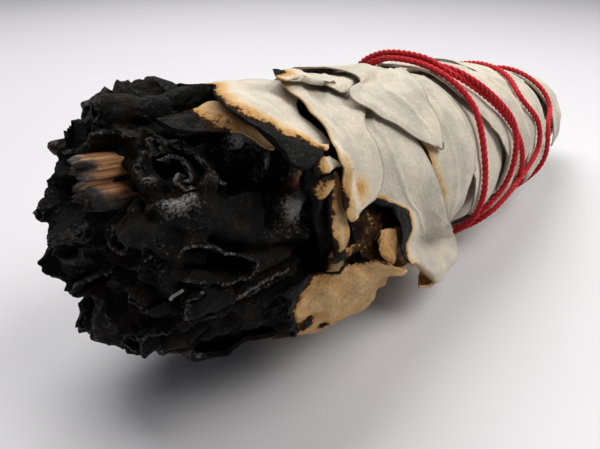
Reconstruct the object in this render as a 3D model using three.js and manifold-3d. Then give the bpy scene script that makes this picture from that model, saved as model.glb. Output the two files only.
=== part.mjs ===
// A sage bunch: leafy sage stems bound into a tapering roll with red cotton thread,
// burnt back at the thick end. It lies on its side on the flat of its lowest leaf.
// Millimetres. +X runs along the bunch to its thin tail, +Z is up, and the origin is on
// that flat, on the surface that the bunch rests on.
import * as THREE from 'three';
import { mergeVertices } from 'three/addons/utils/BufferGeometryUtils.js';
import Module from 'manifold-3d';

const wasm = await Module();
wasm.setup();

// ---- driving dimensions ----------------------------------------------------------------
const BURNT_END = -58;            // furthest burnt leaf roll
const CHAR_LINE = -37.6;          // where the burnt stretch gives way to sound leaves
const TAIL_END = 78;              // tips of the innermost leaves at the thin end
const HEART_TAIL = 62;            // where the packed heart gives way to single leaf tips
const CHAR_CORE_END = -52;
// radius over the leaves, at places along the bunch
const RADIUS_AT = [[-58, 16.6], [-50, 18.6], [-38, 20], [-20, 20], [0, 19.3], [20, 18.6],
  [40, 16.4], [50, 14.5], [60, 12.6], [70, 9.7], [TAIL_END, 7]];
// height of the middle line above the surface: it sinks to the tail, faster past the bend, and
// lifts at the burnt end
const AXIS_AT_CHAR = 22.2, AXIS_SLOPE = -0.0768, BURNT_RISE = 2.6;
const AXIS_BEND = 9, BEND_SLOPE = -0.0352;
const LEAF_THICK = 0.66;          // one wrapped leaf
const LEAF_GAP = 0.34;            // air between two leaves in the pile
const PLATE_THICK = 1.3;          // a charred scrap, puffed up by the fire
const THREAD_RADIUS = 0.62;
const STEM_SIDE = 2.5;            // square sage stem
const STEM_CLEARANCE = 0.3;
const STEM_TAIL = 66;             // where the stems end inside the tail
const TAIL_RING = 4.4;            // and how far from the middle line they lie there
const FIT_GAP = 0.35;             // between two bodies that meet
const FLAT_BITE = 0.16;           // how far the resting flat is pressed into the lowest leaf

const finish = {
  leaf: new THREE.MeshStandardMaterial({ color: 0xd6cdbb, roughness: 0.9, metalness: 0 }),
  singed: new THREE.MeshStandardMaterial({ color: 0xb08a5a, roughness: 0.9, metalness: 0 }),
  burnt: new THREE.MeshStandardMaterial({ color: 0x17130f, roughness: 0.85, metalness: 0 }),
  stem: new THREE.MeshStandardMaterial({ color: 0x8a6a4c, roughness: 0.8, metalness: 0 }),
  thread: new THREE.MeshStandardMaterial({ color: 0xb3202c, roughness: 0.7, metalness: 0 }),
};
const bunch = new THREE.Group();
const { clamp, degToRad, lerp, radToDeg, smoothstep } = THREE.MathUtils;

function seeded(seed) {
  let state = seed;
  return () => {
    state = (state * 1664525 + 1013904223) % 4294967296;
    return state / 4294967296;
  };
}

function spread(from, to, count) {
  return Array.from({ length: count }, (_, k) => from + ((to - from) * k) / (count - 1));
}

// ---- the roll's own coordinates: x along it, angle round it, lift over its outline --------
// Angles run from the top (0) over the near side (90) and the underside (180) to the far side (270).
function bunchRadius(x) {
  const last = RADIUS_AT.length - 2;
  let i = 0;
  while (i < last && x > RADIUS_AT[i + 1][0]) i += 1;
  const [x0, r0] = RADIUS_AT[i];
  const [x1, r1] = RADIUS_AT[i + 1];
  return r0 + (r1 - r0) * clamp((x - x0) / (x1 - x0), 0, 1.3);
}

function axisHeight(x) {
  const into = Math.max(0, (CHAR_LINE - x) / (CHAR_LINE - BURNT_END));
  return AXIS_AT_CHAR + AXIS_SLOPE * (x - CHAR_LINE) + BEND_SLOPE * Math.max(0, x - AXIS_BEND)
    + BURNT_RISE * into ** 1.5;
}

// ---- the pile: the lift of whatever lies uppermost in each cell of the roll ----------------
const CELL_X = 1, CELL_ANGLE = 3, PILE_START = -62;
const PILE_COLUMNS = 146, PILE_ROWS = 360 / CELL_ANGLE;
const BOUND_PULL = 0.5;           // the thread pulls everything past x = 0 in by this
const HEART_MARGIN = 0.5;         // the heart's rough skin stays this far under the lowest leaf
let pressed = new Float32Array(PILE_COLUMNS * PILE_ROWS);
let pile = new Float32Array(PILE_COLUMNS * PILE_ROWS);

function cellAt(x, angle) {
  const column = clamp(Math.round((x - PILE_START) / CELL_X), 0, PILE_COLUMNS - 1);
  const row = ((Math.round(angle / CELL_ANGLE) % PILE_ROWS) + PILE_ROWS) % PILE_ROWS;
  return column * PILE_ROWS + row;
}

function highest(field, x, angle, reachX, reachAngle) {
  let top = -Infinity;
  for (let dx = -reachX; dx <= reachX; dx += CELL_X) {
    for (let turn = -reachAngle; turn <= reachAngle; turn += CELL_ANGLE) {
      top = Math.max(top, field[cellAt(x + dx, angle + turn)]);
    }
  }
  return top;
}

// each cell's mean over a window of the pile
function softened(field, reachX, reachAngle) {
  const along = (source, steps, stepX, stepAngle) => source.map((_, cell) => {
    const x = PILE_START + Math.floor(cell / PILE_ROWS) * CELL_X;
    const angle = (cell % PILE_ROWS) * CELL_ANGLE;
    let sum = 0;
    for (let k = -steps; k <= steps; k += 1) sum += source[cellAt(x + k * stepX, angle + k * stepAngle)];
    return sum / (2 * steps + 1);
  });
  return along(along(field, reachX / CELL_X, CELL_X, 0), reachAngle / CELL_ANGLE, 0, CELL_ANGLE);
}

// Visits a grid of spots triangle by triangle, finely enough to meet every cell below it.
const FINE = 6;
function overSpots(grid, visit) {
  for (let i = 0; i < grid.length - 1; i += 1) {
    for (let j = 0; j < grid[i].length - 1; j += 1) {
      for (let k = 0; k < (FINE + 1) ** 2; k += 1) {
        const p = Math.floor(k / (FINE + 1)) / FINE;
        const q = (k % (FINE + 1)) / FINE;
        const corners = [
          [grid[i][j], 1 - Math.max(p, q)],
          [grid[i + 1][j + 1], Math.min(p, q)],
          p > q ? [grid[i + 1][j], p - q] : [grid[i][j + 1], q - p],
        ];
        const mean = (key) => corners.reduce((sum, [spot, weight]) => sum + spot[key] * weight, 0);
        visit(corners, mean('x'), mean('angle'), mean('lift'));
      }
    }
  }
}

// Raises the pile to a grid's outer face, one cell past its edges.
function cover(grid, thick) {
  overSpots(grid, (corners, x, angle, lift) => {
    for (let k = 0; k < 9; k += 1) {
      const cell = cellAt(x + ((k % 3) - 1) * CELL_X, angle + (Math.floor(k / 3) - 1) * CELL_ANGLE);
      pile[cell] = Math.max(pile[cell], lift + thick);
    }
  });
}

// ---- leaves --------------------------------------------------------------------------------
// A leaf lies along its spine, [x, angle] from the stalk to the tip, and its halves are as wide
// as half says on the burnt side and on the tail side. torn is the share of its length past
// which the tip is torn off square. It drapes over the pile below it.
const ROUND = 20;                 // radius at which an angle is turned into a width
const STEP_ALONG = 4.3, ACROSS = 6;
const DRAPE_PASSES = 12;
const FULL_TIP = 0.985;           // share of the length at which a whole leaf's tip closes

function leafGrid(leaf) {
  const { spine, half, fullest = 0.8, blunt = 0.6, torn = FULL_TIP, wave = 0.07, seed } = leaf;
  const bite = leaf.bite ?? { at: 0, size: 1, depth: 0 };
  const random = seeded(seed * 7919);
  const curve = new THREE.CatmullRomCurve3(
    spine.map(([x, angle]) => new THREE.Vector3(x, degToRad(angle) * ROUND, 0)));
  const steps = Math.max(5, Math.ceil(curve.getLength() / (leaf.step ?? STEP_ALONG)));
  return spread(0, 1, steps + 1).map((t, i) => {
    const at = curve.getPointAt(t);
    const along = curve.getTangentAt(t);
    const fullness = Math.sin(Math.PI * clamp(t, 1 - FULL_TIP, torn) ** fullest) ** blunt;
    return spread(-1, 1, ACROSS + 1).map((v) => {
      const ragged = 1 + wave * (i % 2 ? 1 : -1) * Math.abs(v) * (0.6 + 0.8 * random());
      const bitten = v < 0 ? 1 - bite.depth * Math.exp(-(((t - bite.at) / bite.size) ** 2)) : 1;
      const out = v * (v < 0 ? half[0] : half[1]) * fullness * ragged * bitten;
      return { t, v, x: at.x + along.y * out, angle: radToDeg((at.y - along.x * out) / ROUND) };
    });
  });
}

// Pushes the leaf up, corner by corner, until it clears the pile everywhere.
function drape(grid) {
  grid.flat().forEach((spot) => { spot.lift = pile[cellAt(spot.x, spot.angle)] + LEAF_GAP; });
  for (let pass = 0; pass < DRAPE_PASSES; pass += 1) {
    overSpots(grid, (corners, x, angle, lift) => {
      const short = pile[cellAt(x, angle)] + LEAF_GAP - lift;
      if (short <= 0) return;
      const squares = corners.reduce((sum, [, weight]) => sum + weight * weight, 0);
      corners.forEach(([spot, weight]) => { spot.lift += (short * weight) / squares; });
    });
  }
}

function leafRelief({ flare = 0, flareFrom = 0.7, seed }, { t, v }) {
  const rib = 0.16 * Math.exp(-((v * 5) ** 2));
  const ripple = 0.1 * Math.abs(v) * (1 + Math.sin(seed * 2.1 + t * 17 + v * 2));
  return rib + ripple + flare * smoothstep(t, flareFrom, 1);
}

// Brings a leaf to one lift within an angle of the underside, where the surface presses it flat.
function levelUnderside(grid, within) {
  const under = grid.flat().filter((spot) => Math.abs(spot.angle - 180) < within);
  const level = Math.max(...under.map((spot) => spot.lift));
  under.forEach((spot) => { spot.lift = level; });
}

function layLeaf(leaf) {
  const grid = leafGrid(leaf);
  const thick = leaf.thick ?? LEAF_THICK;
  drape(grid);
  grid.flat().forEach((spot) => { spot.lift += leafRelief(leaf, spot); });
  if (leaf.levelled) levelUnderside(grid, leaf.levelled);
  cover(grid, thick);
  return { ...leaf, grid, thick };
}

// the wrapped leaves from the lowest of the pile to the uppermost
const wrappedLeaves = [
  { name: 'leaf_far_tail', spine: [[58, 335], [57, 270], [59, 195]], half: [8, 8] },
  { name: 'leaf_far_mid', spine: [[25, 340], [27, 280], [24, 205]], half: [9, 9] },
  { name: 'leaf_under_burnt', spine: [[-34, 100], [-33, 160], [-35, 220]], half: [5, 7] },
  { name: 'leaf_scorched', singed: true, half: [3.4, 3.6],
    spine: [[-53, 10], [-48, 13], [-43.5, 19], [-39.5, 29], [-37.5, 40]] },
  { name: 'leaf_near_gap', spine: [[3, 15], [7, 60], [6, 112]], half: [8, 8] },
  { name: 'leaf_tan_under', singed: true, half: [4.6, 5.4],
    spine: [[-36, 82], [-32, 108], [-26, 138]] },
  { name: 'leaf_far_burnt', spine: [[-32, 300], [-33, 255], [-32, 200]], half: [6.4, 7] },
  { name: 'leaf_under_mid', spine: [[-8, 132], [-9, 185], [-8, 236]], half: [10.5, 10] },
  { name: 'leaf_far_cross', spine: [[42, 325], [43, 270], [41, 212]], half: [8, 8] },
  { name: 'leaf_under_waist', spine: [[19, 122], [22, 180], [20, 240]], half: [9.5, 9.5] },
  { name: 'leaf_under_tail', spine: [[43, 95], [42, 150], [44, 215]], half: [9, 9] },
  { name: 'leaf_near_tail', spine: [[56, -30], [57, 40], [57, 105]], half: [8.5, 9] },
  { name: 'leaf_tan_strip', singed: true, half: [3.6, 5],
    spine: [[-33, 50], [-34, 76], [-33, 104]] },
  { name: 'leaf_far_waist', spine: [[8, 335], [9, 280], [7, 215]], half: [9, 9] },
  { name: 'leaf_rest', spine: [[-7, 128], [-5, 180], [-7, 240]], half: [11, 10.5], wave: 0.04,
    thick: 0.9, step: 2.4, levelled: 27 },
  { name: 'leaf_long_flap', half: [13, 13.5], fullest: 0.85, blunt: 0.38, torn: 0.93,
    flare: 3.2, flareFrom: 0.74,
    spine: [[-11, 12], [-14.5, 42], [-11.4, 74], [-9.2, 98], [-9.3, 126]],
    bite: { at: 0.82, size: 0.14, depth: 0.42 } },
  { name: 'leaf_charred_tip', half: [5.6, 5.2], blunt: 0.42, torn: 0.9,
    spine: [[-33, -82], [-32.5, -40], [-33, -5], [-34.8, 22], [-35.4, 46]] },
  { name: 'leaf_tail_cross', spine: [[36, -75], [32, 0], [34, 60], [36, 118]], half: [8.5, 8.5] },
  { name: 'leaf_near_waist', half: [8.5, 9],
    spine: [[13, -45], [13, 20], [20, 62], [21, 96], [18, 130]] },
  { name: 'leaf_folded', half: [5.6, 5.6],
    spine: [[-24.5, -10], [-25.5, 20], [-26.5, 40], [-28.5, 60], [-32.5, 76]] },
  { name: 'leaf_far_top', spine: [[-12, 322], [-14, 285], [-12, 228]], half: [8.5, 8.5] },
  { name: 'leaf_pointed', spine: [[-9, -46], [-11.5, -8], [-12.5, 25], [-8.8, 60]],
    half: [8.4, 8.4] },
  { name: 'leaf_brown_tip', spine: [[-12, -84], [-15, -48], [-19.5, -12], [-20.5, 17]],
    half: [5, 6] },
];

// ---- tail tips -----------------------------------------------------------------------------
// Leaf tips that stand out of the packed heart at the tail, below the wrapped leaves:
// [where they end, depth under the outline, angle, half width].
const TIP_ROOT = HEART_TAIL - 8;
const tailTips = [
  ...spread(0, 320, 9).map((angle, n) => [TAIL_END - 6 + 3 * (n % 3), 2.2, angle, 3.8]),
  ...spread(20, 290, 4).map((angle, n) => [TAIL_END - 1 - 2 * (n % 2), 4.2, angle, 2.6]),
];

function tipGrid([end, depth, middle, half], n) {
  return spread(0, 1, 5).map((t) => spread(1, -1, 3).map((v) => {
    const x = lerp(TIP_ROOT, end, t);
    const width = half * Math.sin(Math.PI * (0.35 + 0.63 * t)) ** 0.7;
    const angle = middle + radToDeg((v * width) / (bunchRadius(x) - depth));
    const ripple = 0.3 * Math.sin(3 * t + v * 2 + n) - 0.5 * v * v;
    return { x, angle, lift: lerp(-depth - 2.6, -depth, Math.min(1, 2 * t)) + ripple };
  }));
}

// ---- burnt scraps of the outer leaves, below the wrapped leaves ------------------------------
// [sound edge, burnt edge, middle angle, half angle]
const charPlates = [[-39.6, -50, 16, 15], [-39.6, -54.5, 57, 15], [-39.6, -52.5, 88, 17],
  [-39.8, -51.5, 122, 18], [-39.6, -53, 160, 19], [-39.8, -55, 200, 18], [-39.6, -52, 240, 20],
  [-39.6, -54, 281, 19], [-39.8, -51.5, 320, 18]];

function plateGrid([from, to, middle, half], n) {
  return spread(0, 1, 4).map((t) => spread(-1, 1, 6).map((v, j) => {
    const ragged = t * (j % 2 ? 1.3 : -0.9) * (1 + 0.5 * Math.sin(n * 3 + j));
    const curl = 0.6 * t * t + 0.7 * Math.abs(v) ** 3 + 0.25 * Math.sin(n * 2 + 4 * t + 3 * v);
    return { x: lerp(from, to, t) - ragged, angle: middle + v * half, lift: -4 + curl };
  }));
}

// ---- laying everything on the heart ----------------------------------------------------------
// It is laid twice: the first pile tells how far the heart is pressed in under each spot, so
// that the second one ends level with the outline.
function layAll() {
  pile = pressed.map((depth) => -depth);
  const tips = tailTips.map(tipGrid);
  const plates = charPlates.map(plateGrid);
  tips.forEach((grid) => cover(grid, LEAF_THICK));
  plates.forEach((grid) => cover(grid, PLATE_THICK));
  return { tips, plates, leaves: wrappedLeaves.map((leaf, n) => layLeaf({ ...leaf, seed: n + 1 })) };
}
layAll();
pressed = softened(softened(pile, 4, 12), 4, 12).map((depth, cell) => depth
  + BOUND_PULL * smoothstep(PILE_START + Math.floor(cell / PILE_ROWS) * CELL_X, 0, 6));
const laid = layAll();

// ---- the thread's course ------------------------------------------------------------------------
// One length of cotton, wound out to the tail and back over itself: [x, angle] as it turns.
// Its burnt end lies at the first place.
const threadRoute = [
  [6.6, -60], [5.2, 0], [6, 42], [4.8, 75], [5.2, 100], [8.2, 180], [7.6, 250], [6.8, 378],
  [9.8, 389], [12.9, 400], [17.3, 417], [22, 436], [24.4, 452], [34, 540], [44, 640], [49.6, 745],
  [48.4, 777], [42, 795], [38, 930], [34.6, 1096], [30.2, 1126], [34.6, 1146], [34.4, 1165],
  [29.5, 1176], [21, 1187], [15, 1206], [11.4, 1300], [7.6, 1440], [8.6, 1460], [13, 1480],
  [17.2, 1502], [17.4, 1526], [16, 1540], [12.8, 1554], [10, 1600], [9, 1700], [7.6, 1800],
  [7, 1860], [6.8, 1905],
];
const THREAD_STEP = 5, THREAD_SIDES = 5;
const TUBE_STEP = 3;              // course points to a step of the tube
const THREAD_STRETCH = 54;        // points in one tube: less than a turn, so it can't meet itself

function threadSpots() {
  const [start, end] = [threadRoute[0][1], threadRoute[threadRoute.length - 1][1]];
  const course = new THREE.CatmullRomCurve3(
    threadRoute.map(([x, angle]) => new THREE.Vector3(x, angle, 0)), false, 'chordal');
  const fine = course.getPoints(1600);
  return spread(start, end, Math.round((end - start) / THREAD_STEP)).map((angle) => {
    const near = fine.reduce((a, b) => (Math.abs(b.y - angle) < Math.abs(a.y - angle) ? b : a));
    return { x: near.x, angle, lift: highest(pile, near.x, angle, 1, 9) + FIT_GAP + THREAD_RADIUS };
  });
}
const threadCourse = threadSpots();

// ---- pressed flat below -------------------------------------------------------------------------
// What would sink below the surface moves towards the middle line.
const undersideTops = spread(PILE_START, PILE_START + PILE_COLUMNS - 1, PILE_COLUMNS)
  .map((x) => highest(pile, x, 180, 3, 15));
const THREAD_FROM = 2.5, THREAD_TO = 6.5;

function outermostLift(x) {
  const column = clamp(Math.round((x - PILE_START) / CELL_X), 4, PILE_COLUMNS - 5);
  const window = undersideTops.slice(column - 4, column + 5);
  const leafTop = window.reduce((sum, lift) => sum + lift) / window.length - FLAT_BITE;
  return leafTop + (FIT_GAP + 2 * THREAD_RADIUS) * smoothstep(x, THREAD_FROM, THREAD_TO);
}

function place(x, angle, lift, floor = 0) {
  const a = degToRad(angle);
  const down = -Math.cos(a);
  const outermost = bunchRadius(x) + outermostLift(x);
  const toSurface = down > 0.2 ? axisHeight(x) / down : Infinity;
  const r = bunchRadius(x) + lift + Math.min(0, toSurface - outermost);
  return new THREE.Vector3(x, -r * Math.sin(a), Math.max(floor, axisHeight(x) + r * Math.cos(a)));
}

// ---- solids ------------------------------------------------------------------------------
function solid(geometry) {
  const plain = geometry.clone();
  plain.deleteAttribute('normal');
  plain.deleteAttribute('uv');
  const merged = mergeVertices(plain, 1e-4);
  return new wasm.Manifold(new wasm.Mesh({
    numProp: 3,
    vertProperties: new Float32Array(merged.attributes.position.array),
    triVerts: new Uint32Array(merged.index.array),
  }));
}

function geometryFrom(points, index) {
  const geometry = new THREE.BufferGeometry();
  geometry.setAttribute('position', new THREE.Float32BufferAttribute(points, 3));
  geometry.setIndex(index);
  geometry.computeVertexNormals();
  return geometry;
}

// one body: loose scraps are dropped and sealed pockets filled
function geometryOf(body) {
  const whole = body.decompose().sort((a, b) => b.volume() - a.volume())[0];
  const mesh = whole.getMesh();
  return geometryFrom(mesh.vertProperties, [...mesh.triVerts]);
}

function addPiece(name, geometry, material) {
  const mesh = new THREE.Mesh(geometry, material);
  mesh.name = name;
  bunch.add(mesh);
}

function join(parts) {
  return parts.reduce((whole, part) => whole.add(part));
}

// A closed skin over a grid of spots: outer face, inner face and rim, split alike.
function sheet(grid, thick) {
  const rows = grid.length;
  const columns = grid[0].length;
  const face = (rise) => grid.flat().map((s) => place(s.x, s.angle, s.lift + rise));
  const points = [...face(thick), ...face(0)].flatMap((p) => p.toArray());
  const at = (side, i, j) => side * rows * columns + i * columns + j;
  const index = [];
  for (let i = 0; i < rows - 1; i += 1) {
    for (let j = 0; j < columns - 1; j += 1) {
      index.push(at(0, i, j), at(0, i + 1, j), at(0, i + 1, j + 1));
      index.push(at(0, i, j), at(0, i + 1, j + 1), at(0, i, j + 1));
      index.push(at(1, i, j), at(1, i + 1, j + 1), at(1, i + 1, j));
      index.push(at(1, i, j), at(1, i, j + 1), at(1, i + 1, j + 1));
    }
  }
  const rim = [];
  for (let j = 0; j < columns - 1; j += 1) rim.push([0, j]);
  for (let i = 0; i < rows - 1; i += 1) rim.push([i, columns - 1]);
  for (let j = columns - 1; j > 0; j -= 1) rim.push([rows - 1, j]);
  for (let i = rows - 1; i > 0; i -= 1) rim.push([i, 0]);
  rim.forEach(([i, j], n) => {
    const [k, l] = rim[(n + 1) % rim.length];
    index.push(at(0, i, j), at(0, k, l), at(1, i, j));
    index.push(at(0, k, l), at(1, k, l), at(1, i, j));
  });
  return geometryFrom(points, index);
}

laid.leaves.forEach(({ name, grid, thick, singed }) => {
  addPiece(name, sheet(grid, thick), singed ? finish.singed : finish.leaf);
});

// ---- the thread -----------------------------------------------------------------------------
const threadSection = new THREE.Shape(spread(0, 288, THREAD_SIDES).map((turn) => new THREE.Vector2(
  THREAD_RADIUS * Math.cos(degToRad(turn)), THREAD_RADIUS * Math.sin(degToRad(turn)))));

function threadTube(points) {
  return solid(new THREE.ExtrudeGeometry(threadSection, {
    steps: Math.ceil((points.length - 1) / TUBE_STEP),
    bevelEnabled: false,
    extrudePath: new THREE.CatmullRomCurve3(points, false, 'chordal'),
  }));
}

const threadPath = threadCourse.map((s) => place(s.x, s.angle, s.lift, THREAD_RADIUS));
const threadTubes = [];
for (let n = 0; n < threadPath.length - TUBE_STEP; n += THREAD_STRETCH) {
  threadTubes.push(threadTube(threadPath.slice(n, n + THREAD_STRETCH + TUBE_STEP)));
}
addPiece('red_thread', geometryOf(join(threadTubes)), finish.thread);

// ---- stems ---------------------------------------------------------------------------------
// Each stem runs straight through the bunch: [its burnt tip's x, distance from the middle line,
// angle] and then the distance and angle at the tail, where the stems draw together.
const stems = [
  [-60.2, 11, 9, TAIL_RING, 0], [-60, 11.8, 37, TAIL_RING, 72], [-59.6, 6.9, -2, 0, 0],
  [-56, 9, -118, TAIL_RING, -72], [-57, 8.6, 132, TAIL_RING, 144], [-55, 13.2, -160, TAIL_RING, -144],
];

function fromAxis(x, away, angle) {
  const a = degToRad(angle);
  return new THREE.Vector3(x, -away * Math.sin(a), axisHeight(x) + away * Math.cos(a));
}

function stemBar([tip, away, angle, tailAway, tailAngle], side, extra) {
  const from = fromAxis(tip, away, angle);
  const to = fromAxis(STEM_TAIL, tailAway, tailAngle);
  const bar = new THREE.BoxGeometry(side, side, from.distanceTo(to) + 2 * extra);
  const along = to.clone().sub(from).normalize();
  bar.applyQuaternion(new THREE.Quaternion().setFromUnitVectors(new THREE.Vector3(0, 0, 1), along));
  const middle = from.add(to).multiplyScalar(0.5);
  return bar.translate(middle.x, middle.y, middle.z);
}

const stemHoles = join(stems.map((stem) => solid(stemBar(stem, STEM_SIDE + 2 * STEM_CLEARANCE, 3))));
stems.forEach((stem, n) => addPiece(`stem_${n + 1}`, stemBar(stem, STEM_SIDE, 0), finish.stem));

// ---- the packed heart ------------------------------------------------------------------------
// A drum whose skin is given by liftAt(x, angle), closed by a cap at each end.
function drum(stations, sides, liftAt, bulge) {
  const first = stations[0];
  const last = stations[stations.length - 1];
  const points = stations.flatMap((x) => Array.from({ length: sides }, (_, k) => {
    const angle = (360 * k) / sides;
    return place(x, angle, liftAt(x, angle));
  }));
  points.push(fromAxis(first, 0, 0).setX(first - bulge[0]), fromAxis(last, 0, 0).setX(last + bulge[1]));
  const index = [];
  for (let i = 0; i < stations.length - 1; i += 1) {
    for (let k = 0; k < sides; k += 1) {
      const [a, b] = [i * sides + k, i * sides + ((k + 1) % sides)];
      index.push(a, b + sides, a + sides, a, b, b + sides);
    }
  }
  const foot = (stations.length - 1) * sides;
  for (let k = 0; k < sides; k += 1) {
    index.push(points.length - 2, (k + 1) % sides, k);
    index.push(points.length - 1, foot + k, foot + ((k + 1) % sides));
  }
  return solid(geometryFrom(points.flatMap((p) => p.toArray()), index));
}

function heartLift(x, angle) {
  const rough = 0.15 * (1 + Math.sin(degToRad(5 * angle) + x * 0.12));
  return -highest(pressed, x, angle, 5, 9) - HEART_MARGIN - rough;
}

const heart = drum(spread(CHAR_LINE + FIT_GAP, HEART_TAIL, 11), 24, heartLift, [0, 2]);
const tipSolids = laid.tips.map((grid) => solid(sheet(grid, LEAF_THICK)));
addPiece('packed_leaves', geometryOf(join([heart, ...tipSolids]).subtract(stemHoles)), finish.leaf);

// ---- the burnt end ------------------------------------------------------------------------------
// A leaf rolled up into a tube that burnt hollow: [mouth, distance from the middle line, angle,
// radius, length]. Its slit looks away from the middle.
const charRolls = [
  [-60.2, 4.2, -128, 8, 10], [-60, 13.6, -166, 4.5, 10], [-57.6, 12.4, 160, 4.2, 8],
  [-56.8, 13.6, 131, 2.3, 7], [-55.2, 13.6, 100, 1.7, 7], [-59, 11.6, -92, 2.8, 9],
  [-55.4, 13.6, -62, 3, 7], [-52.4, 13.8, -34, 3.2, 7], [-51.4, 16.2, -12, 2.9, 6],
  [-57.6, 8.4, 62, 3.4, 7], [-57, 12.8, 70, 2.6, 7], [-58.8, 9.4, 98, 2.9, 8],
  [-58.4, 9, 176, 2.6, 8], [-54.2, 14.2, 82, 3.6, 7], [-53.4, 14.6, 50, 3, 7],
  [-49.4, 18.6, -4, 2, 8],
];
const HALF_SLIT = 0.45;           // radians

function charRoll([mouth, away, angle, radius, length], n) {
  const slit = degToRad(angle + 90) + 0.5 * Math.sin(n * 2.3);
  const wall = Math.min(1.1, radius * 0.5);
  const sides = radius > 4 ? 9 : 6;
  const [open, close] = [slit + HALF_SLIT, slit + 2 * Math.PI - HALF_SLIT];
  const arc = (r, from, to) => spread(from, to, sides)
    .map((turn) => new THREE.Vector2(r * Math.cos(turn), r * Math.sin(turn)));
  const outline = new THREE.Shape([...arc(radius, open, close), ...arc(radius - wall, close, open)]);
  const tube = new THREE.ExtrudeGeometry(outline, { depth: length, bevelEnabled: false, steps: 1 });
  tube.rotateY(Math.PI / 2).rotateZ(0.12 * Math.sin(n * 1.7)).rotateY(0.12 * Math.cos(n * 1.3));
  const at = fromAxis(mouth, away, angle);
  return solid(tube.translate(at.x, at.y, at.z));
}

// Knots of leaf shrunk by the fire: [x, angle, lift, radius].
const charKnots = [[-45, 39, -1.5, 2.3], [-43.2, 50, -1.5, 2.2], [-53.5, 47, -2.6, 2.6],
  [-57.5, 60, -14, 2.6], [-49.5, -18, -0.8, 2.6]];

function charKnot([x, angle, lift, radius]) {
  const ball = new THREE.IcosahedronGeometry(radius, 1);
  ball.scale(1.25, 1, 0.9);
  const at = place(x, angle, lift);
  return solid(ball.translate(at.x, at.y, at.z));
}

const CHAR_CORE_DEPTH = 3.2;
const charCore = drum(spread(CHAR_CORE_END, CHAR_LINE - FIT_GAP, 4), 20,
  (x, angle) => -CHAR_CORE_DEPTH - 0.5 * (1 + Math.sin(degToRad(7 * angle) + x)), [2.5, 0]);
const plateSolids = laid.plates.map((grid) => solid(sheet(grid, PLATE_THICK)));
const burntEnd = join([charCore, ...charRolls.map(charRoll), ...plateSolids, ...charKnots.map(charKnot)]);
addPiece('charred_leaves', geometryOf(burntEnd.subtract(stemHoles)), finish.burnt);

export default bunch;
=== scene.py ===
"""Looks of a sage bunch: dry leaves bound with red cotton thread, burnt back at its thick end.

The bunch lies along +X with its thin tail at +X, and rests on z = 0. Sizes in this script are
millimetres and degrees; meshes are made in metres by Workshop.mesh.
"""

import logging
import math
from dataclasses import dataclass, field
from enum import Enum, IntEnum
from itertools import product
from typing import Any, Sequence

import bpy
import numpy as np
from mathutils import Matrix, Vector


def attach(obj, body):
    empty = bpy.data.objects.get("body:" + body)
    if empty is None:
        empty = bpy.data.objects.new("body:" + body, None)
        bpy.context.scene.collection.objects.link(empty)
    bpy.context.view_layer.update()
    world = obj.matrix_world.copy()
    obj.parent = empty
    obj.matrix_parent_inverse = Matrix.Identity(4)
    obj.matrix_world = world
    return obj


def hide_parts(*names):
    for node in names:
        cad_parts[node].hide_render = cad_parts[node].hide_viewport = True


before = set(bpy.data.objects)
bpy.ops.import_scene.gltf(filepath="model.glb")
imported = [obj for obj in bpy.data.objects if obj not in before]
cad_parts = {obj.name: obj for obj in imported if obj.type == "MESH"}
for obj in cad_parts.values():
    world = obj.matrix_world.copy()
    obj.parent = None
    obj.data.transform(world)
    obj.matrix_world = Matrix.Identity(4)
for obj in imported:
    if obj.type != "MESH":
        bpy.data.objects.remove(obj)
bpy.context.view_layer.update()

MM = 0.001
BODY = "root"
ROUND = 20.0  # the radius at which an angle is turned into a width
log = logging.getLogger("sage_bunch")

Array = np.ndarray
Piece = bpy.types.Object
Socket = bpy.types.NodeSocket
Material = bpy.types.Material
Colour = tuple[float, float, float]
Stops = tuple[tuple[float, Colour], ...]
Pair = tuple[float, float]
Pairs = tuple[Pair, ...]
Places = tuple[tuple[float, float, float], ...]
Five = tuple[float, float, float, float, float]


class Slot(Enum):
    """The record's material slots."""

    LEAF = "dry_leaf"
    SINGED = "singed_leaf"
    CHARRED = "charred_leaf"
    STEM = "stem"
    THREAD = "thread"


class Seed(IntEnum):
    """Where the noise of each kind of piece starts; a piece's number is added to it."""

    HEART = 77
    CRUST = 88
    CRUST_ASH = 89
    PLATE = 300
    PLATE_FACE = 350
    ROLL = 500
    CURL = 700
    STEM = 900


# ---- noise and shapes in numbers ----


def smoothstep(value: Any, low: float, high: float) -> Array:
    """Rises smoothly from 0 at low to 1 at high."""
    share = np.clip((np.asarray(value, float) - low) / (high - low), 0.0, 1.0)
    return share * share * (3 - 2 * share)


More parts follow.
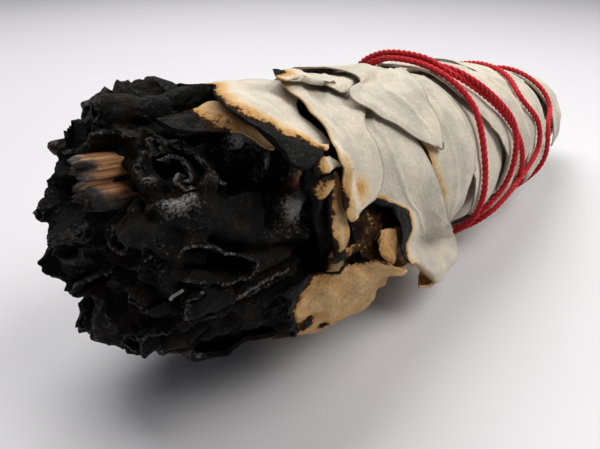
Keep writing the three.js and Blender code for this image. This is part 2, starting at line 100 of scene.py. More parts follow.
class Grain:
    """Smooth seeded noise over points in space, whose x, y and z come last."""

    CELLS = 4096
    HASH = (73856093, 19349663, 83492791)
    LAYER_SHIFT = 31.7
    FOLD_SHIFT = 17.3
    VECTOR_SHIFTS = ((0, 0, 0), (57.3, 11.1, 5.9), (9.7, 83.3, 41.9))

    def __init__(self, seed: int) -> None:
        """Fills the lattice from a seed."""
        self.table = np.random.default_rng(seed).random(self.CELLS) * 2 - 1

    def at(self, points: Array, size: float) -> Array:
        """The noise at each point.

        Args:
            points: The points.
            size: The size of one lump of the noise.

        Returns:
            Values from -1 to 1.
        """
        scaled = np.asarray(points, float) / size
        cell = np.floor(scaled).astype(np.int64)
        part = scaled - cell
        part = part * part * (3 - 2 * part)
        total = np.zeros(scaled.shape[:-1])
        for corner in product((0, 1), repeat=3):
            spot = cell + np.array(corner)
            key = np.bitwise_xor.reduce(spot * np.array(self.HASH), axis=-1)
            weight = np.prod(np.where(np.array(corner) == 1, part, 1 - part), axis=-1)
            total += self.table[key & (self.CELLS - 1)] * weight
        return total

    def layered(self, points: Array, size: float, octaves: int = 3) -> Array:
        """Noise of lumps of that size, with finer and fainter layers on top, each half as large."""
        shifted = np.asarray(points, float)
        return sum(self.at(shifted + self.LAYER_SHIFT * k, size / 2**k) / 2**k
                   for k in range(octaves))

    def ridged(self, points: Array, size: float, octaves: int = 3) -> Array:
        """Layered noise with sharp crests at its top, as in crumpled sheets."""
        shifted = np.asarray(points, float)
        return sum((1 - 4 * np.abs(self.at(shifted + self.FOLD_SHIFT * k, size / 2**k))) / 2**k
                   for k in range(octaves)) / 1.5

    def vectors(self, points: Array, size: float, octaves: int = 3) -> Array:
        """Three independent layered noises, as a shift of each point."""
        return np.stack([self.layered(points + np.array(shift), size, octaves)
                         for shift in self.VECTOR_SHIFTS], -1)


def points_of(*parts: Any) -> Array:
    """Joins x, y and z of any matching shapes into one array, with x, y and z last."""
    return np.stack(np.broadcast_arrays(*[np.asarray(p, float) for p in parts]), -1)


def curve_through(places: Sequence[Sequence[float]], count: int, dense_steps: int = 60) -> Array:
    """A smooth curve through places, in even steps of its length.

    Args:
        places: The places, of any dimension.
        count: How many points the curve gets.
        dense_steps: How many steps each span is measured in.

    Returns:
        The points of the curve.
    """
    knots = np.array(places, float)
    knots = np.vstack([2 * knots[0] - knots[1], knots, 2 * knots[-1] - knots[-2]])
    dense = []
    for a, b, c, d in zip(knots, knots[1:], knots[2:], knots[3:]):
        gaps = [max(np.linalg.norm(q - p), 1e-6) ** 0.5 for p, q in ((a, b), (b, c), (c, d))]
        lead = (b - a) / gaps[0] - (c - a) / (gaps[0] + gaps[1]) + (c - b) / gaps[1]
        trail = (c - b) / gaps[1] - (d - b) / (gaps[1] + gaps[2]) + (d - c) / gaps[2]
        lead, trail = lead * gaps[1], trail * gaps[1]
        t = np.linspace(0, 1, dense_steps, endpoint=False)[:, None]
        dense.append(
            (2 * t**3 - 3 * t**2 + 1) * b
            + (t**3 - 2 * t**2 + t) * lead
            + (3 * t**2 - 2 * t**3) * c
            + (t**3 - t**2) * trail
        )
    line = np.vstack([*dense, knots[-2][None]])
    length = np.concatenate([[0], np.cumsum(np.linalg.norm(np.diff(line, axis=0), axis=1))])
    marks = np.linspace(0, length[-1], count)
    return np.stack([np.interp(marks, length, line[:, k]) for k in range(line.shape[1])], -1)


def read_off(pairs: Pairs, at: Any) -> Array:
    """The value at each spot, from pairs of a place and the value there."""
    return np.interp(at, *zip(*pairs))


def eased(grid: Array) -> Array:
    """The mean of each spot's four neighbours."""
    padded = np.pad(grid, 1, mode="edge")
    return (padded[:-2, 1:-1] + padded[2:, 1:-1] + padded[1:-1, :-2] + padded[1:-1, 2:]) / 4


def above_table(points: Array, gap: float = 0.08) -> Array:
    """The points, none of them lower than the gap."""
    points[..., 2] = np.maximum(points[..., 2], gap)
    return points


def grid_normals(points: Array) -> Array:
    """The unit normal at each spot of a grid, its row direction crossed with its column direction."""
    normal = np.cross(np.gradient(points, axis=0), np.gradient(points, axis=1))
    return normal / np.maximum(np.linalg.norm(normal, axis=-1, keepdims=True), 1e-9)


# ---- meshes ----


@dataclass
class Shape:
    """Points in millimetres, faces as point numbers, and marks: a row for each point, by name."""

    points: Array
    faces: list[tuple[int, ...]]
    marks: dict[str, Array] = field(default_factory=dict)

    @staticmethod
    def joined(shapes: Sequence["Shape"]) -> "Shape":
        """Puts several shapes into one.

        Args:
            shapes: Shapes that carry the same marks.

        Returns:
            The one shape.
        """
        faces, first = [], 0
        for shape in shapes:
            faces += [tuple(k + first for k in face) for face in shape.faces]
            first += len(shape.points)
        marks = {
            name: np.concatenate([shape.marks[name] for shape in shapes])
            for name in shapes[0].marks
        }
        return Shape(np.concatenate([shape.points for shape in shapes]), faces, marks)


def shell(outer: Array, inner: Array, marks: dict[str, Array]) -> Shape:
    """A closed skin between two grids, with a rim round its edge.

    Args:
        outer: Rows by columns of points of the outer face.
        inner: The same spots on the inner face.
        marks: Values for each spot, rows by columns.

    Returns:
        The closed shape.
    """
    rows, columns = outer.shape[:2]
    number = np.arange(rows * columns).reshape(rows, columns)
    a, b, c, d = number[:-1, :-1], number[1:, :-1], number[1:, 1:], number[:-1, 1:]
    quads = np.stack([a, b, c, d], -1).reshape(-1, 4)
    faces = [tuple(q) for q in quads] + [tuple(q) for q in quads[:, ::-1] + rows * columns]
    rim = np.concatenate([number[0, :-1], number[:-1, -1], number[-1, :0:-1], number[:0:-1, 0]])
    following = np.roll(rim, -1)
    under = rows * columns
    faces += [(p, q, q + under, p + under) for p, q in zip(rim, following)]
    both = {name: np.concatenate([v.reshape(under, -1)] * 2) for name, v in marks.items()}
    points = np.concatenate([outer.reshape(-1, 3), inner.reshape(-1, 3)])
    return Shape(points, faces, both)


def drum_shape(rings: Array, marks: dict[str, Array]) -> Shape:
    """A closed drum from rings of points, with a middle point in each end.

    Args:
        rings: Stations by sides of points.
        marks: Values for each spot, stations by sides.

    Returns:
        The closed shape.
    """
    stations, sides = rings.shape[:2]
    number = np.arange(stations * sides).reshape(stations, sides)
    nxt = np.roll(number, -1, axis=1)
    quads = np.stack([number[:-1], nxt[:-1], nxt[1:], number[1:]], -1).reshape(-1, 4)
    faces = [tuple(q) for q in quads]
    low, high = stations * sides, stations * sides + 1
    faces += [(low, q, p) for p, q in zip(number[0], nxt[0])]
    faces += [(high, p, q) for p, q in zip(number[-1], nxt[-1])]
    ends = np.stack([rings[0].mean(0), rings[-1].mean(0)])
    both = {
        name: np.concatenate([v.reshape(low, -1), [v[0].reshape(sides, -1).mean(0)],
                              [v[-1].reshape(sides, -1).mean(0)]])
        for name, v in marks.items()
    }
    return Shape(np.concatenate([rings.reshape(-1, 3), ends]), faces, both)


class Workshop:
    """Makes Blender meshes and fits them to the frame."""

    SHARP_ANGLE = 55.0

    @staticmethod
    def mesh(name: str, shape: Shape, material: Material) -> Piece:
        """Makes a mesh object in metres from a shape in millimetres.

        Args:
            name: The object's name.
            shape: What it is made of.
            material: Its material.

        Returns:
            The object, at the origin.
        """
        data = bpy.data.meshes.new(name)
        data.from_pydata((shape.points * MM).tolist(), [], shape.faces)
        for mark, values in shape.marks.items():
            wide = values.size == 3 * len(shape.points)
            kind, slot = ("FLOAT_VECTOR", "vector") if wide else ("FLOAT", "value")
            layer = data.attributes.new(mark, kind, "POINT")
            layer.data.foreach_set(slot, values.astype(np.float32).ravel())
        data.materials.append(material)
        data.polygons.foreach_set("use_smooth", [True] * len(data.polygons))
        data.update()
        data.set_sharp_from_angle(angle=math.radians(Workshop.SHARP_ANGLE))
        piece = bpy.data.objects.new(name, data)
        bpy.context.scene.collection.objects.link(piece)
        return piece

    @staticmethod
    def fit(piece: Piece, slot: Slot, *nodes: str) -> None:
        """Rides the piece on the bunch, hides the CAD nodes that it replaces and reports it.

        Args:
            piece: The finished object.
            slot: Not used.
            nodes: CAD nodes that it replaces.
        """
        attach(piece, BODY)
        if nodes:
            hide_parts(*nodes)
        log.info("%s: %d faces", piece.name, len(piece.data.polygons))


# ---- node trees ----


class Tree:
    """Builds a node tree, a node at a time."""

    def __init__(self, tree: bpy.types.NodeTree) -> None:
        """Takes the node tree to build in."""
        self.tree = tree

    def put(self, kind: str, inputs: dict[Any, Any], **settings: Any) -> bpy.types.Node:
        """Adds a node.

        Args:
            kind: The node's type.
            inputs: Its inputs by name or number, each a value or another node's output.
            settings: Properties of the node.

        Returns:
            The node.
        """
        node = self.tree.nodes.new(kind)
        for name, value in settings.items():
            setattr(node, name, value)
        for key, value in inputs.items():
            if isinstance(value, Socket):
                self.tree.links.new(value, node.inputs[key])
            else:
                node.inputs[key].default_value = value
        return node

    def out(self, kind: str, inputs: dict[Any, Any], output: int | str = 0,
            **settings: Any) -> Socket:
        """Adds a node as put does, and gives one of its outputs."""
        return self.put(kind, inputs, **settings).outputs[output]


class Finish(Tree):
    """A material under way, with helpers that give sockets."""

    def __init__(self, name: str) -> None:
        """Starts a material of that name with a principled shader."""
        self.material = bpy.data.materials.new(name)
        self.material.use_nodes = True
        super().__init__(self.material.node_tree)
        self.skin = self.tree.nodes["Principled BSDF"]
        self.place = self.out("ShaderNodeTexCoord", {}, "Object")

    def mark(self, name: str, output: str = "Fac") -> Socket:
        """The piece's own attribute of that name."""
        return self.out("ShaderNodeAttribute", {}, output, attribute_name=name)

    def math(self, operation: str, *values: Any) -> Socket:
        """One sum of up to three values."""
        return self.out("ShaderNodeMath", dict(enumerate(values)), operation=operation)

    def stretched(self, vector: Any, scale: Sequence[float]) -> Socket:
        """A vector scaled on each axis."""
        return self.out("ShaderNodeVectorMath", {0: vector, 1: scale}, operation="MULTIPLY")

    def noise(self, size: float, detail: float = 3, vector: Any = None, rough: float = 0.55) -> Socket:
        """Noise whose lumps are size millimetres, or of the vector's own units."""
        scale = 1 / (size * MM) if vector is None else 1 / size
        return self.out("ShaderNodeTexNoise", {
            "Vector": self.place if vector is None else vector,
            "Scale": scale, "Detail": detail, "Roughness": rough,
        }, "Fac")

    def cells(self, size: float, vector: Any = None, feature: str = "F1") -> Socket:
        """The distance in a pattern of cells of that size."""
        scale = 1 / (size * MM) if vector is None else 1 / size
        return self.out("ShaderNodeTexVoronoi", {
            "Vector": self.place if vector is None else vector, "Scale": scale,
        }, "Distance", feature=feature)

    def ramp(self, value: Any, stops: Stops) -> Socket:
        """Colours along a value.

        Args:
            value: What the ramp is read by.
            stops: Each place on it and the colour there.

        Returns:
            The colour's socket.
        """
        node = self.put("ShaderNodeValToRGB", {0: value})
        elements = node.color_ramp.elements
        while len(elements) < len(stops):
            elements.new(1)
        for element, (place, colour) in zip(elements, stops):
            element.position = place
            element.color = (*colour, 1)
        return node.outputs["Color"]

    def range(self, value: Any, low: float, high: float, to_low: float = 0, to_high: float = 1) -> Socket:
        """Maps a value from one range to another, held at its ends."""
        return self.out("ShaderNodeMapRange", {
            "Value": value, "From Min": low, "From Max": high, "To Min": to_low, "To Max": to_high,
        }, "Result")

    def mix(self, share: Any, first: Any, second: Any) -> Socket:
        """Two colours mixed."""
        values = {0: share, 6: first, 7: second}
        for key in (6, 7):
            if not isinstance(values[key], Socket):
                values[key] = (*values[key], 1)
        return self.out("ShaderNodeMix", values, 2, data_type="RGBA")

    def bump(self, height: Any, depth: float, under: Any = None) -> Socket:
        """A bumped normal, depth millimetres high, over another one."""
        inputs = {"Height": height, "Distance": depth * MM, "Strength": 1.0}
        if under is not None:
            inputs["Normal"] = under
        return self.out("ShaderNodeBump", inputs, "Normal")

    def wire(self, **sockets: Any) -> Material:
        """Sets the shader's inputs, with _ for a space in a name, and gives the material."""
        for name, value in sockets.items():
            socket = self.skin.inputs[name.replace("_", " ")]
            if isinstance(value, Socket):
                self.tree.links.new(value, socket)
            else:
                socket.default_value = value
        return self.material


class Recipe(Tree):
    """A Geometry Nodes tree with named inputs, run on an object once and taken off again."""

    def __init__(self, name: str, sizes: Sequence[str]) -> None:
        """Starts the tree.

        Args:
            name: The tree's name.
            sizes: The names of its sizes, its inputs beside the material.
        """
        super().__init__(bpy.data.node_groups.new(name, "GeometryNodeTree"))
        make = self.tree.interface.new_socket
        for way in ("INPUT", "OUTPUT"):
            make("Geometry", in_out=way, socket_type="NodeSocketGeometry")
        kinds = {**dict.fromkeys(sizes, "NodeSocketFloat"), "Material": "NodeSocketMaterial"}
        self.keys = {label: make(label, in_out="INPUT", socket_type=kind).identifier
                     for label, kind in kinds.items()}
        self.source = self.put("NodeGroupInput", {})

    def given(self, label: str) -> Socket:
        """The tree's input of that name."""
        return self.source.outputs[label]

    def end(self, geometry: Socket) -> "Recipe":
        """Ends the tree: realized, and in the given material.

        Args:
            geometry: What it made.

        Returns:
            The tree.
        """
        real = self.out("GeometryNodeRealizeInstances", {0: geometry})
        dressed = self.out("GeometryNodeSetMaterial", {
            "Geometry": real, "Material": self.given("Material")})
        self.put("NodeGroupOutput", {"Geometry": dressed})
        return self

    def run(self, source: Piece, name: str, material: Material,
            values: dict[str, Any]) -> Piece:
        """Runs the tree on an object, which is removed.

        Args:
            source: The object to run on.
            name: The new object's name.
            material: Its material.
            values: The inputs by name.

        Returns:
            A plain mesh object.
        """
        modifier = source.modifiers.new(self.tree.name, "NODES")
        modifier.node_group = self.tree
        for label, value in {**values, "Material": material}.items():
            modifier[self.keys[label]] = value
        depsgraph = bpy.context.evaluated_depsgraph_get()
        data = bpy.data.meshes.new_from_object(source.evaluated_get(depsgraph))
        bpy.data.objects.remove(source)
        data.name = name
        piece = bpy.data.objects.new(name, data)
        bpy.context.scene.collection.objects.link(piece)
        return piece

    @staticmethod
    def twisted_thread(plies: int) -> "Recipe":
        """Plies twisted round a line.

        Args:
            plies: How many plies there are.

        Returns:
            The tree.
        """
        r = Recipe("twisted_thread", ("Ply radius", "Ply offset", "Pitch", "Step"))
        curve = r.out("GeometryNodeMeshToCurve", {0: r.given("Geometry")})
        even = r.out("GeometryNodeResampleCurve", {"Curve": curve, "Length": r.given("Step")},
                     mode="LENGTH")
        length = r.out("GeometryNodeSplineParameter", {}, "Length")
        turns = r.out("ShaderNodeMath", {0: length, 1: r.given("Pitch")}, operation="DIVIDE")
        tilt = r.out("ShaderNodeMath", {0: turns, 1: 2 * math.pi}, operation="MULTIPLY")
        tilted = r.out("GeometryNodeSetCurveTilt", {"Curve": even, "Tilt": tilt})
        circle = r.out("GeometryNodeCurvePrimitiveCircle", {
            "Resolution": 8, "Radius": r.given("Ply radius")}, mode="RADIUS")
        shift = r.out("ShaderNodeCombineXYZ", {0: r.given("Ply offset")})
        moved = r.out("GeometryNodeTransform", {"Geometry": circle, "Translation": shift})
        join = r.put("GeometryNodeJoinGeometry", {})
        for k in range(plies):
            ply = r.out("GeometryNodeTransform", {
                "Geometry": moved, "Rotation": (0, 0, k * 2 * math.pi / plies)})
            r.tree.links.new(ply, join.inputs[0])
        mesh = r.out("GeometryNodeCurveToMesh", {
            "Curve": tilted, "Profile Curve": join.outputs[0], "Fill Caps": True})
        return r.end(r.out("GeometryNodeSetShadeSmooth", {"Geometry": mesh}))


# ---- finishes ----


@dataclass(frozen=True)
class LeafFinish:
    """Dry felted sage leaf, toasted and charred where its scorch mark says.

    Its colour has duller and warmer patches, a fine net of veins, dark specks and a browner cut
    rim. toast runs from sound to charred, and each size is that of the lumps or meshes it names.
    """

    name: str = "dry_sage_leaf"
    pale: Colour = (0.64, 0.575, 0.475)
    dull: Colour = (0.49, 0.46, 0.39)
    warm: Colour = (0.58, 0.465, 0.375)
    vein: Colour = (0.42, 0.37, 0.28)
    speck: Colour = (0.16, 0.11, 0.07)
    rim: Colour = (0.20, 0.12, 0.06)
    # grey of the char's specks: partly ash, partly painted highlight standing in for glints
    ash_and_highlight: Colour = (0.19, 0.185, 0.18)
    toast: Stops = (
        (0.0, (0.66, 0.60, 0.50)), (0.22, (0.60, 0.45, 0.25)), (0.42, (0.48, 0.26, 0.09)),
        (0.58, (0.13, 0.06, 0.022)), (0.7, (0.012, 0.008, 0.006)), (1.0, (0.004, 0.0037, 0.0035)),
    )
    fuzz_size: float = 0.16
    blotch_size: float = 5.0
    patch_size: float = 1.6
    vein_size: float = 1.3
    speck_size: float = 0.42
    dull_band: Pair = (0.42, 0.62)
    warm_band: Pair = (0.55, 0.72)
    warm_share: float = 0.55
    felt_shades: Pair = (0.82, 1.12)
    vein_share: float = 0.12
    speck_share: float = 0.7
    rim_width: float = 0.34
    rim_share: float = 0.62
    char_band: Pair = (0.5, 0.72)
    ash_and_highlight_share: float = 0.6

    def made(self) -> Material:
        """Builds the material.

        Returns:
            The material.
        """
        f = Finish(self.name)
        on_leaf = f.mark("on_leaf", "Vector")
        fuzz = f.noise(self.fuzz_size, 4)
        blotch = f.noise(self.blotch_size, 3)
        patch = f.noise(self.patch_size, 4)
        colour = f.mix(f.range(blotch, *self.dull_band), self.pale, self.dull)
        colour = f.mix(f.range(patch, *self.warm_band, 0, self.warm_share), colour, self.warm)
        felt = f.range(fuzz, 0.35, 0.65, *self.felt_shades)
        colour = f.out("ShaderNodeVectorMath", {0: colour, 3: felt}, operation="SCALE")
        veins = f.cells(self.vein_size, f.stretched(on_leaf, (0.7, 1, 1)), "DISTANCE_TO_EDGE")
        vein_line = f.range(veins, 0.0, 0.09, 1, 0)
        colour = f.mix(f.math("MULTIPLY", vein_line, self.vein_share), colour, self.vein)
        speck = f.range(f.cells(self.speck_size), 0.05, 0.13, 1, 0)
        rare = f.range(f.noise(0.9, 1), 0.54, 0.62)
        speckled = f.math("MULTIPLY", speck, f.math("MULTIPLY", rare, self.speck_share))
        colour = f.mix(speckled, colour, self.speck)
        colour = f.mix(f.range(f.mark("rim"), 0, self.rim_width, self.rim_share, 0), colour, self.rim)
        grainy = f.math("ADD", f.math("MULTIPLY", f.noise(0.5, 5, rough=0.7), 0.5),
                        f.math("MULTIPLY", f.noise(2.2, 3), 0.35))
        scorch = f.math("ADD", f.mark("scorch"), f.math("SUBTRACT", grainy, 0.425))
        colour = f.mix(f.range(scorch, 0.0, 0.26), colour, f.ramp(scorch, self.toast))
        char = f.range(scorch, *self.char_band)
        # Grey specks on the char, partly ash and partly painted highlight.
        ash_and_highlight = f.math("MULTIPLY", f.range(f.noise(0.35, 5, rough=0.75), 0.59, 0.7), char)
        colour = f.mix(f.math("MULTIPLY", ash_and_highlight, self.ash_and_highlight_share), colour, self.ash_and_highlight)
        wrinkle = f.noise(1.0, 3, f.stretched(on_leaf, (0.22, 1.1, 1)))
        normal = f.bump(wrinkle, 0.07)
        normal = f.bump(f.range(veins, 0, 0.2), 0.025, normal)
        normal = f.bump(fuzz, 0.1, normal)
        crust = f.math("MULTIPLY", f.noise(0.42, 5, rough=0.7), char)
        normal = f.bump(f.math("MULTIPLY", f.noise(1.3, 3), char), 1.2, normal)
        normal = f.bump(crust, 0.8, normal)
        return f.wire(Base_Color=colour, Normal=normal,
                      Roughness=f.range(char, 0, 1, 0.92, 0.55), Sheen_Weight=0.02,
                      Sheen_Roughness=0.5, Specular_IOR_Level=0.14)


@dataclass(frozen=True)
class CharFinish:
    """Leaf burnt to black crust, brown where it burnt less, and grey on its high grains and where its
    ash_and_highlight mark says, which is partly ash and partly painted highlight.

    toast runs from that brown to tan, where its ember mark says that the fire hardly reached.
    """

    name: str = "charred_leaf_crust"
    soot: Colour = (0.0024, 0.0022, 0.0022)
    brown: Colour = (0.010, 0.006, 0.004)
    ash_and_highlight: Colour = (0.30, 0.285, 0.275)
    toast: Stops = (
        (0.3, (0.010, 0.006, 0.004)), (0.7, (0.08, 0.035, 0.015)), (1.1, (0.30, 0.14, 0.05)),
        (1.6, (0.5, 0.3, 0.13)),
    )
    grain_size: float = 0.4
    flake_size: float = 0.8
    patch_size: float = 6.0
    brown_band: Pair = (0.50, 0.66)
    ember_band: Pair = (0.3, 0.7)
    ash_and_highlight_band: Pair = (0.62, 0.82)
    ash_and_highlight_share: float = 0.75
    gloss: Pair = (0.36, 0.75)

    def made(self) -> Material:
        """Builds the material.

        Returns:
            The material.
        """
        f = Finish(self.name)
        grain = f.noise(self.grain_size, 6, rough=0.72)
        flakes = f.cells(self.flake_size)
        broad = f.noise(self.patch_size, 3)
        colour = f.mix(f.range(broad, *self.brown_band), self.soot, self.brown)
        ember = f.math("ADD", f.mark("ember"), f.math("SUBTRACT", f.noise(1.4, 4), 0.5))
        colour = f.mix(f.range(ember, *self.ember_band), colour, f.ramp(ember, self.toast))
        # Grey on the high grains and on the ash_and_highlight mark: partly ash, partly painted highlight
        # on lit rims, lumps and a glint.
        ash_and_highlight = f.range(f.math("ADD", grain, f.math("MULTIPLY", f.mark("ash_and_highlight"), 0.2)), *self.ash_and_highlight_band)
        colour = f.mix(f.math("MULTIPLY", ash_and_highlight, self.ash_and_highlight_share), colour, self.ash_and_highlight)
        normal = f.bump(f.noise(1.6, 4), 0.5)
        normal = f.bump(flakes, 0.12, normal)
        normal = f.bump(grain, 0.28, normal)
        return f.wire(Base_Color=colour, Normal=normal,
                      Roughness=f.range(f.noise(1.1, 3), 0.35, 0.65, *self.gloss),
                      Specular_IOR_Level=0.12)


@dataclass(frozen=True)
class StemFinish:
    """Dry woody stem: its wood across the fibres, and its toast from sound to burnt."""

    name: str = "dry_sage_stem"
    wood: Stops = (
        (0.3, (0.16, 0.065, 0.025)), (0.5, (0.36, 0.17, 0.07)), (0.7, (0.55, 0.31, 0.15)),
    )
    toast: Stops = (
        (0.0, (0.36, 0.18, 0.08)), (0.35, (0.13, 0.085, 0.06)), (0.62, (0.035, 0.03, 0.027)),
        (1.0, (0.012, 0.011, 0.010)),
    )
    fibre_size: float = 1.0

    def made(self) -> Material:
        """Builds the material.

        Returns:
            The material.
        """
        f = Finish(self.name)
        on_stem = f.mark("on_leaf", "Vector")
        fibre = f.noise(self.fibre_size, 5, f.stretched(on_stem, (0.12, 2.4, 1)), 0.65)
        colour = f.ramp(fibre, self.wood)
        scorch = f.math("ADD", f.mark("scorch"), f.math("SUBTRACT", f.noise(0.9, 4), 0.5))
        colour = f.mix(f.range(scorch, 0.05, 0.4), colour, f.ramp(scorch, self.toast))
        normal = f.bump(fibre, 0.3)
        normal = f.bump(f.noise(0.2, 4), 0.06, normal)
        return f.wire(Base_Color=colour, Normal=normal, Roughness=0.72, Specular_IOR_Level=0.3)


@dataclass(frozen=True)
class ThreadFinish:
    """Red cotton thread, with painted shade between its fibres and painted highlight in patches."""

    name: str = "red_cotton_thread"
    red: Colour = (0.74, 0.018, 0.03)
    deep: Colour = (0.42, 0.007, 0.014)
    highlight_red: Colour = (0.80, 0.07, 0.07)
    sheen: Colour = (1.0, 0.55, 0.55)
    fibre_size: float = 0.13
    fibre_shade_band: Pair = (0.38, 0.62)
    highlight_band: Pair = (0.5, 0.75)
    highlight_share: float = 0.4

    def made(self) -> Material:
        """Builds the material.

        Returns:
            The material.
        """
        f = Finish(self.name)
        fibre = f.noise(self.fibre_size, 3)
        tone = f.noise(2.0, 3)
        # deep between the fibres is painted shade, and highlight_red in patches is painted highlight.
        colour = f.mix(f.range(fibre, *self.fibre_shade_band), self.deep, self.red)
        colour = f.mix(f.range(tone, *self.highlight_band, 0, self.highlight_share), colour, self.highlight_red)
        normal = f.bump(fibre, 0.08)
        return f.wire(Base_Color=colour, Normal=normal, Roughness=0.78, Sheen_Weight=0.35,
                      Sheen_Roughness=0.4, Sheen_Tint=(*self.sheen, 1), Specular_IOR_Level=0.25)


@dataclass(frozen=True)
class TableFinish:
    """The pale plain surface that the bunch lies on, in soft clouds of two shades."""

    name: str = "pale_table"
    shade: Colour = (0.64, 0.635, 0.66)
    pale: Colour = (0.67, 0.665, 0.685)
    cloud_size: float = 60.0

    def made(self) -> Material:
        """Builds the material.

        Returns:
            The material.
        """
        f = Finish(self.name)
        colour = f.mix(f.noise(self.cloud_size, 2), self.shade, self.pale)
        return f.wire(Base_Color=colour, Roughness=0.45, Specular_IOR_Level=0.3)


# ---- the roll ----


@dataclass(frozen=True)
class Outline:
    """How thick the roll is along its length, and how high its middle line lies.

    stations holds x and the radius there. The middle line climbs by axis_slope, and past axis_bend by
    bend_slope more; before the char line it rises by burnt_rise to the burnt end.
    """

    burnt_end: float = -58.0
    char_line: float = -37.6
    stations: Pairs = (
        (-58, 16.6), (-50, 18.6), (-38, 20), (-20, 20), (0, 19.3), (20, 18.6), (40, 16.4),
        (50, 14.5), (60, 12.6), (70, 9.7), (78, 7), (80.4, 6.2),
    )
    axis_at_char: float = 22.2
    axis_slope: float = -0.0768
    axis_bend: float = 9.0
    bend_slope: float = -0.0352
    burnt_rise: float = 2.6

    def radius(self, x: Any) -> Array:
        """The radius over the leaves at each x."""
        return read_off(self.stations, x)

    def axis_height(self, x: Any) -> Array:
        """The middle line's height above the surface.

        Args:
            x: Where it is read.

        Returns:
            The height at each x.
        """
        x = np.asarray(x, float)
        into = np.maximum(0, (self.char_line - x) / (self.char_line - self.burnt_end))
        sunk = self.axis_slope * (x - self.char_line)
        bent = self.bend_slope * np.maximum(0, x - self.axis_bend)
        return self.axis_at_char + sunk + bent + self.burnt_rise * into**1.5

    def from_axis(self, x: Any, away: Any, angle: Any) -> Array:
        """The point at a distance and an angle from the middle line, at x."""
        turn = np.radians(angle)
        return points_of(x, -away * np.sin(turn), self.axis_height(x) + away * np.cos(turn))


class Field:
    """A value in each cell of the roll: along it, and round it from the top over the near side."""

    STEP_X = 0.5
    STEP_ANGLE = 1.5
    START = -64.0
    COLUMNS = 296
    ROWS = 240

    def __init__(self, values: Array | float = 0.0) -> None:
        """Fills the cells with one value, or with one for each."""
        self.values = np.zeros((self.COLUMNS, self.ROWS)) + values

    def cells(self, x: Any, angle: Any) -> tuple[Array, Array]:
        """The column and row that hold each spot."""
        column = np.rint((np.asarray(x) - self.START) / self.STEP_X).astype(int)
        row = np.rint(np.asarray(angle) / self.STEP_ANGLE).astype(int) % self.ROWS
        return np.clip(column, 0, self.COLUMNS - 1), row

    def at(self, x: Any, angle: Any) -> Array:
        """The value in each spot's cell."""
        return self.values[self.cells(x, angle)]

    def between(self, x: Any, angle: Any) -> Array:
        """The value at each spot, blended from the four cells round it.

        Args:
            x: Along the bunch.
            angle: Round it.

        Returns:
            The values.
        """
        column = np.clip((np.asarray(x) - self.START) / self.STEP_X, 0, self.COLUMNS - 1.001)
        row = np.asarray(angle) / self.STEP_ANGLE
        i, j = np.floor(column).astype(int), np.floor(row).astype(int)
        p, q = column - i, row - j
        low, high = j % self.ROWS, (j + 1) % self.ROWS
        near, far = (self.values[k, low] * (1 - q) + self.values[k, high] * q for k in (i, i + 1))
        return near * (1 - p) + far * p

    def raise_to(self, x: Array, angle: Array, value: Array, reach: int = 1) -> None:
        """Raises the cells under and round each spot to its value."""
        for dx, turn in product(range(-reach, reach + 1), repeat=2):
            spot = self.cells(x + dx * self.STEP_X, angle + turn * self.STEP_ANGLE)
            np.maximum.at(self.values, spot, value)

    def softened(self, reach_x: float, reach_angle: float) -> "Field":
        """Each cell's mean over a window.

        Args:
            reach_x: How far the window reaches along the bunch.
            reach_angle: How far round it.

        Returns:
            The softened field.
        """
        along = round(reach_x / self.STEP_X)
        columns = np.arange(self.COLUMNS)
        mean = sum(self.values[np.clip(columns + k, 0, self.COLUMNS - 1)]
                   for k in range(-along, along + 1)) / (2 * along + 1)
        turn = round(reach_angle / self.STEP_ANGLE)
        mean = sum(np.roll(mean, k, axis=1) for k in range(-turn, turn + 1)) / (2 * turn + 1)
        return Field(mean)

    def highest(self, reach_x: float, reach_angle: float) -> "Field":
        """Each cell's highest value over a window.

        Args:
            reach_x: How far the window reaches along the bunch.
            reach_angle: How far round it.

        Returns:
            The raised field.
        """
        along = round(reach_x / self.STEP_X)
        columns = np.arange(self.COLUMNS)
        top = self.values
        for k in range(-along, along + 1):
            top = np.maximum(top, self.values[np.clip(columns + k, 0, self.COLUMNS - 1)])
        turn = round(reach_angle / self.STEP_ANGLE)
        turned = top
        for k in range(-turn, turn + 1):
            turned = np.maximum(turned, np.roll(top, k, axis=1))
        return Field(turned)

    @classmethod
    def stations(cls) -> Array:
        """x of each column."""
        return cls.START + np.arange(cls.COLUMNS) * cls.STEP_X


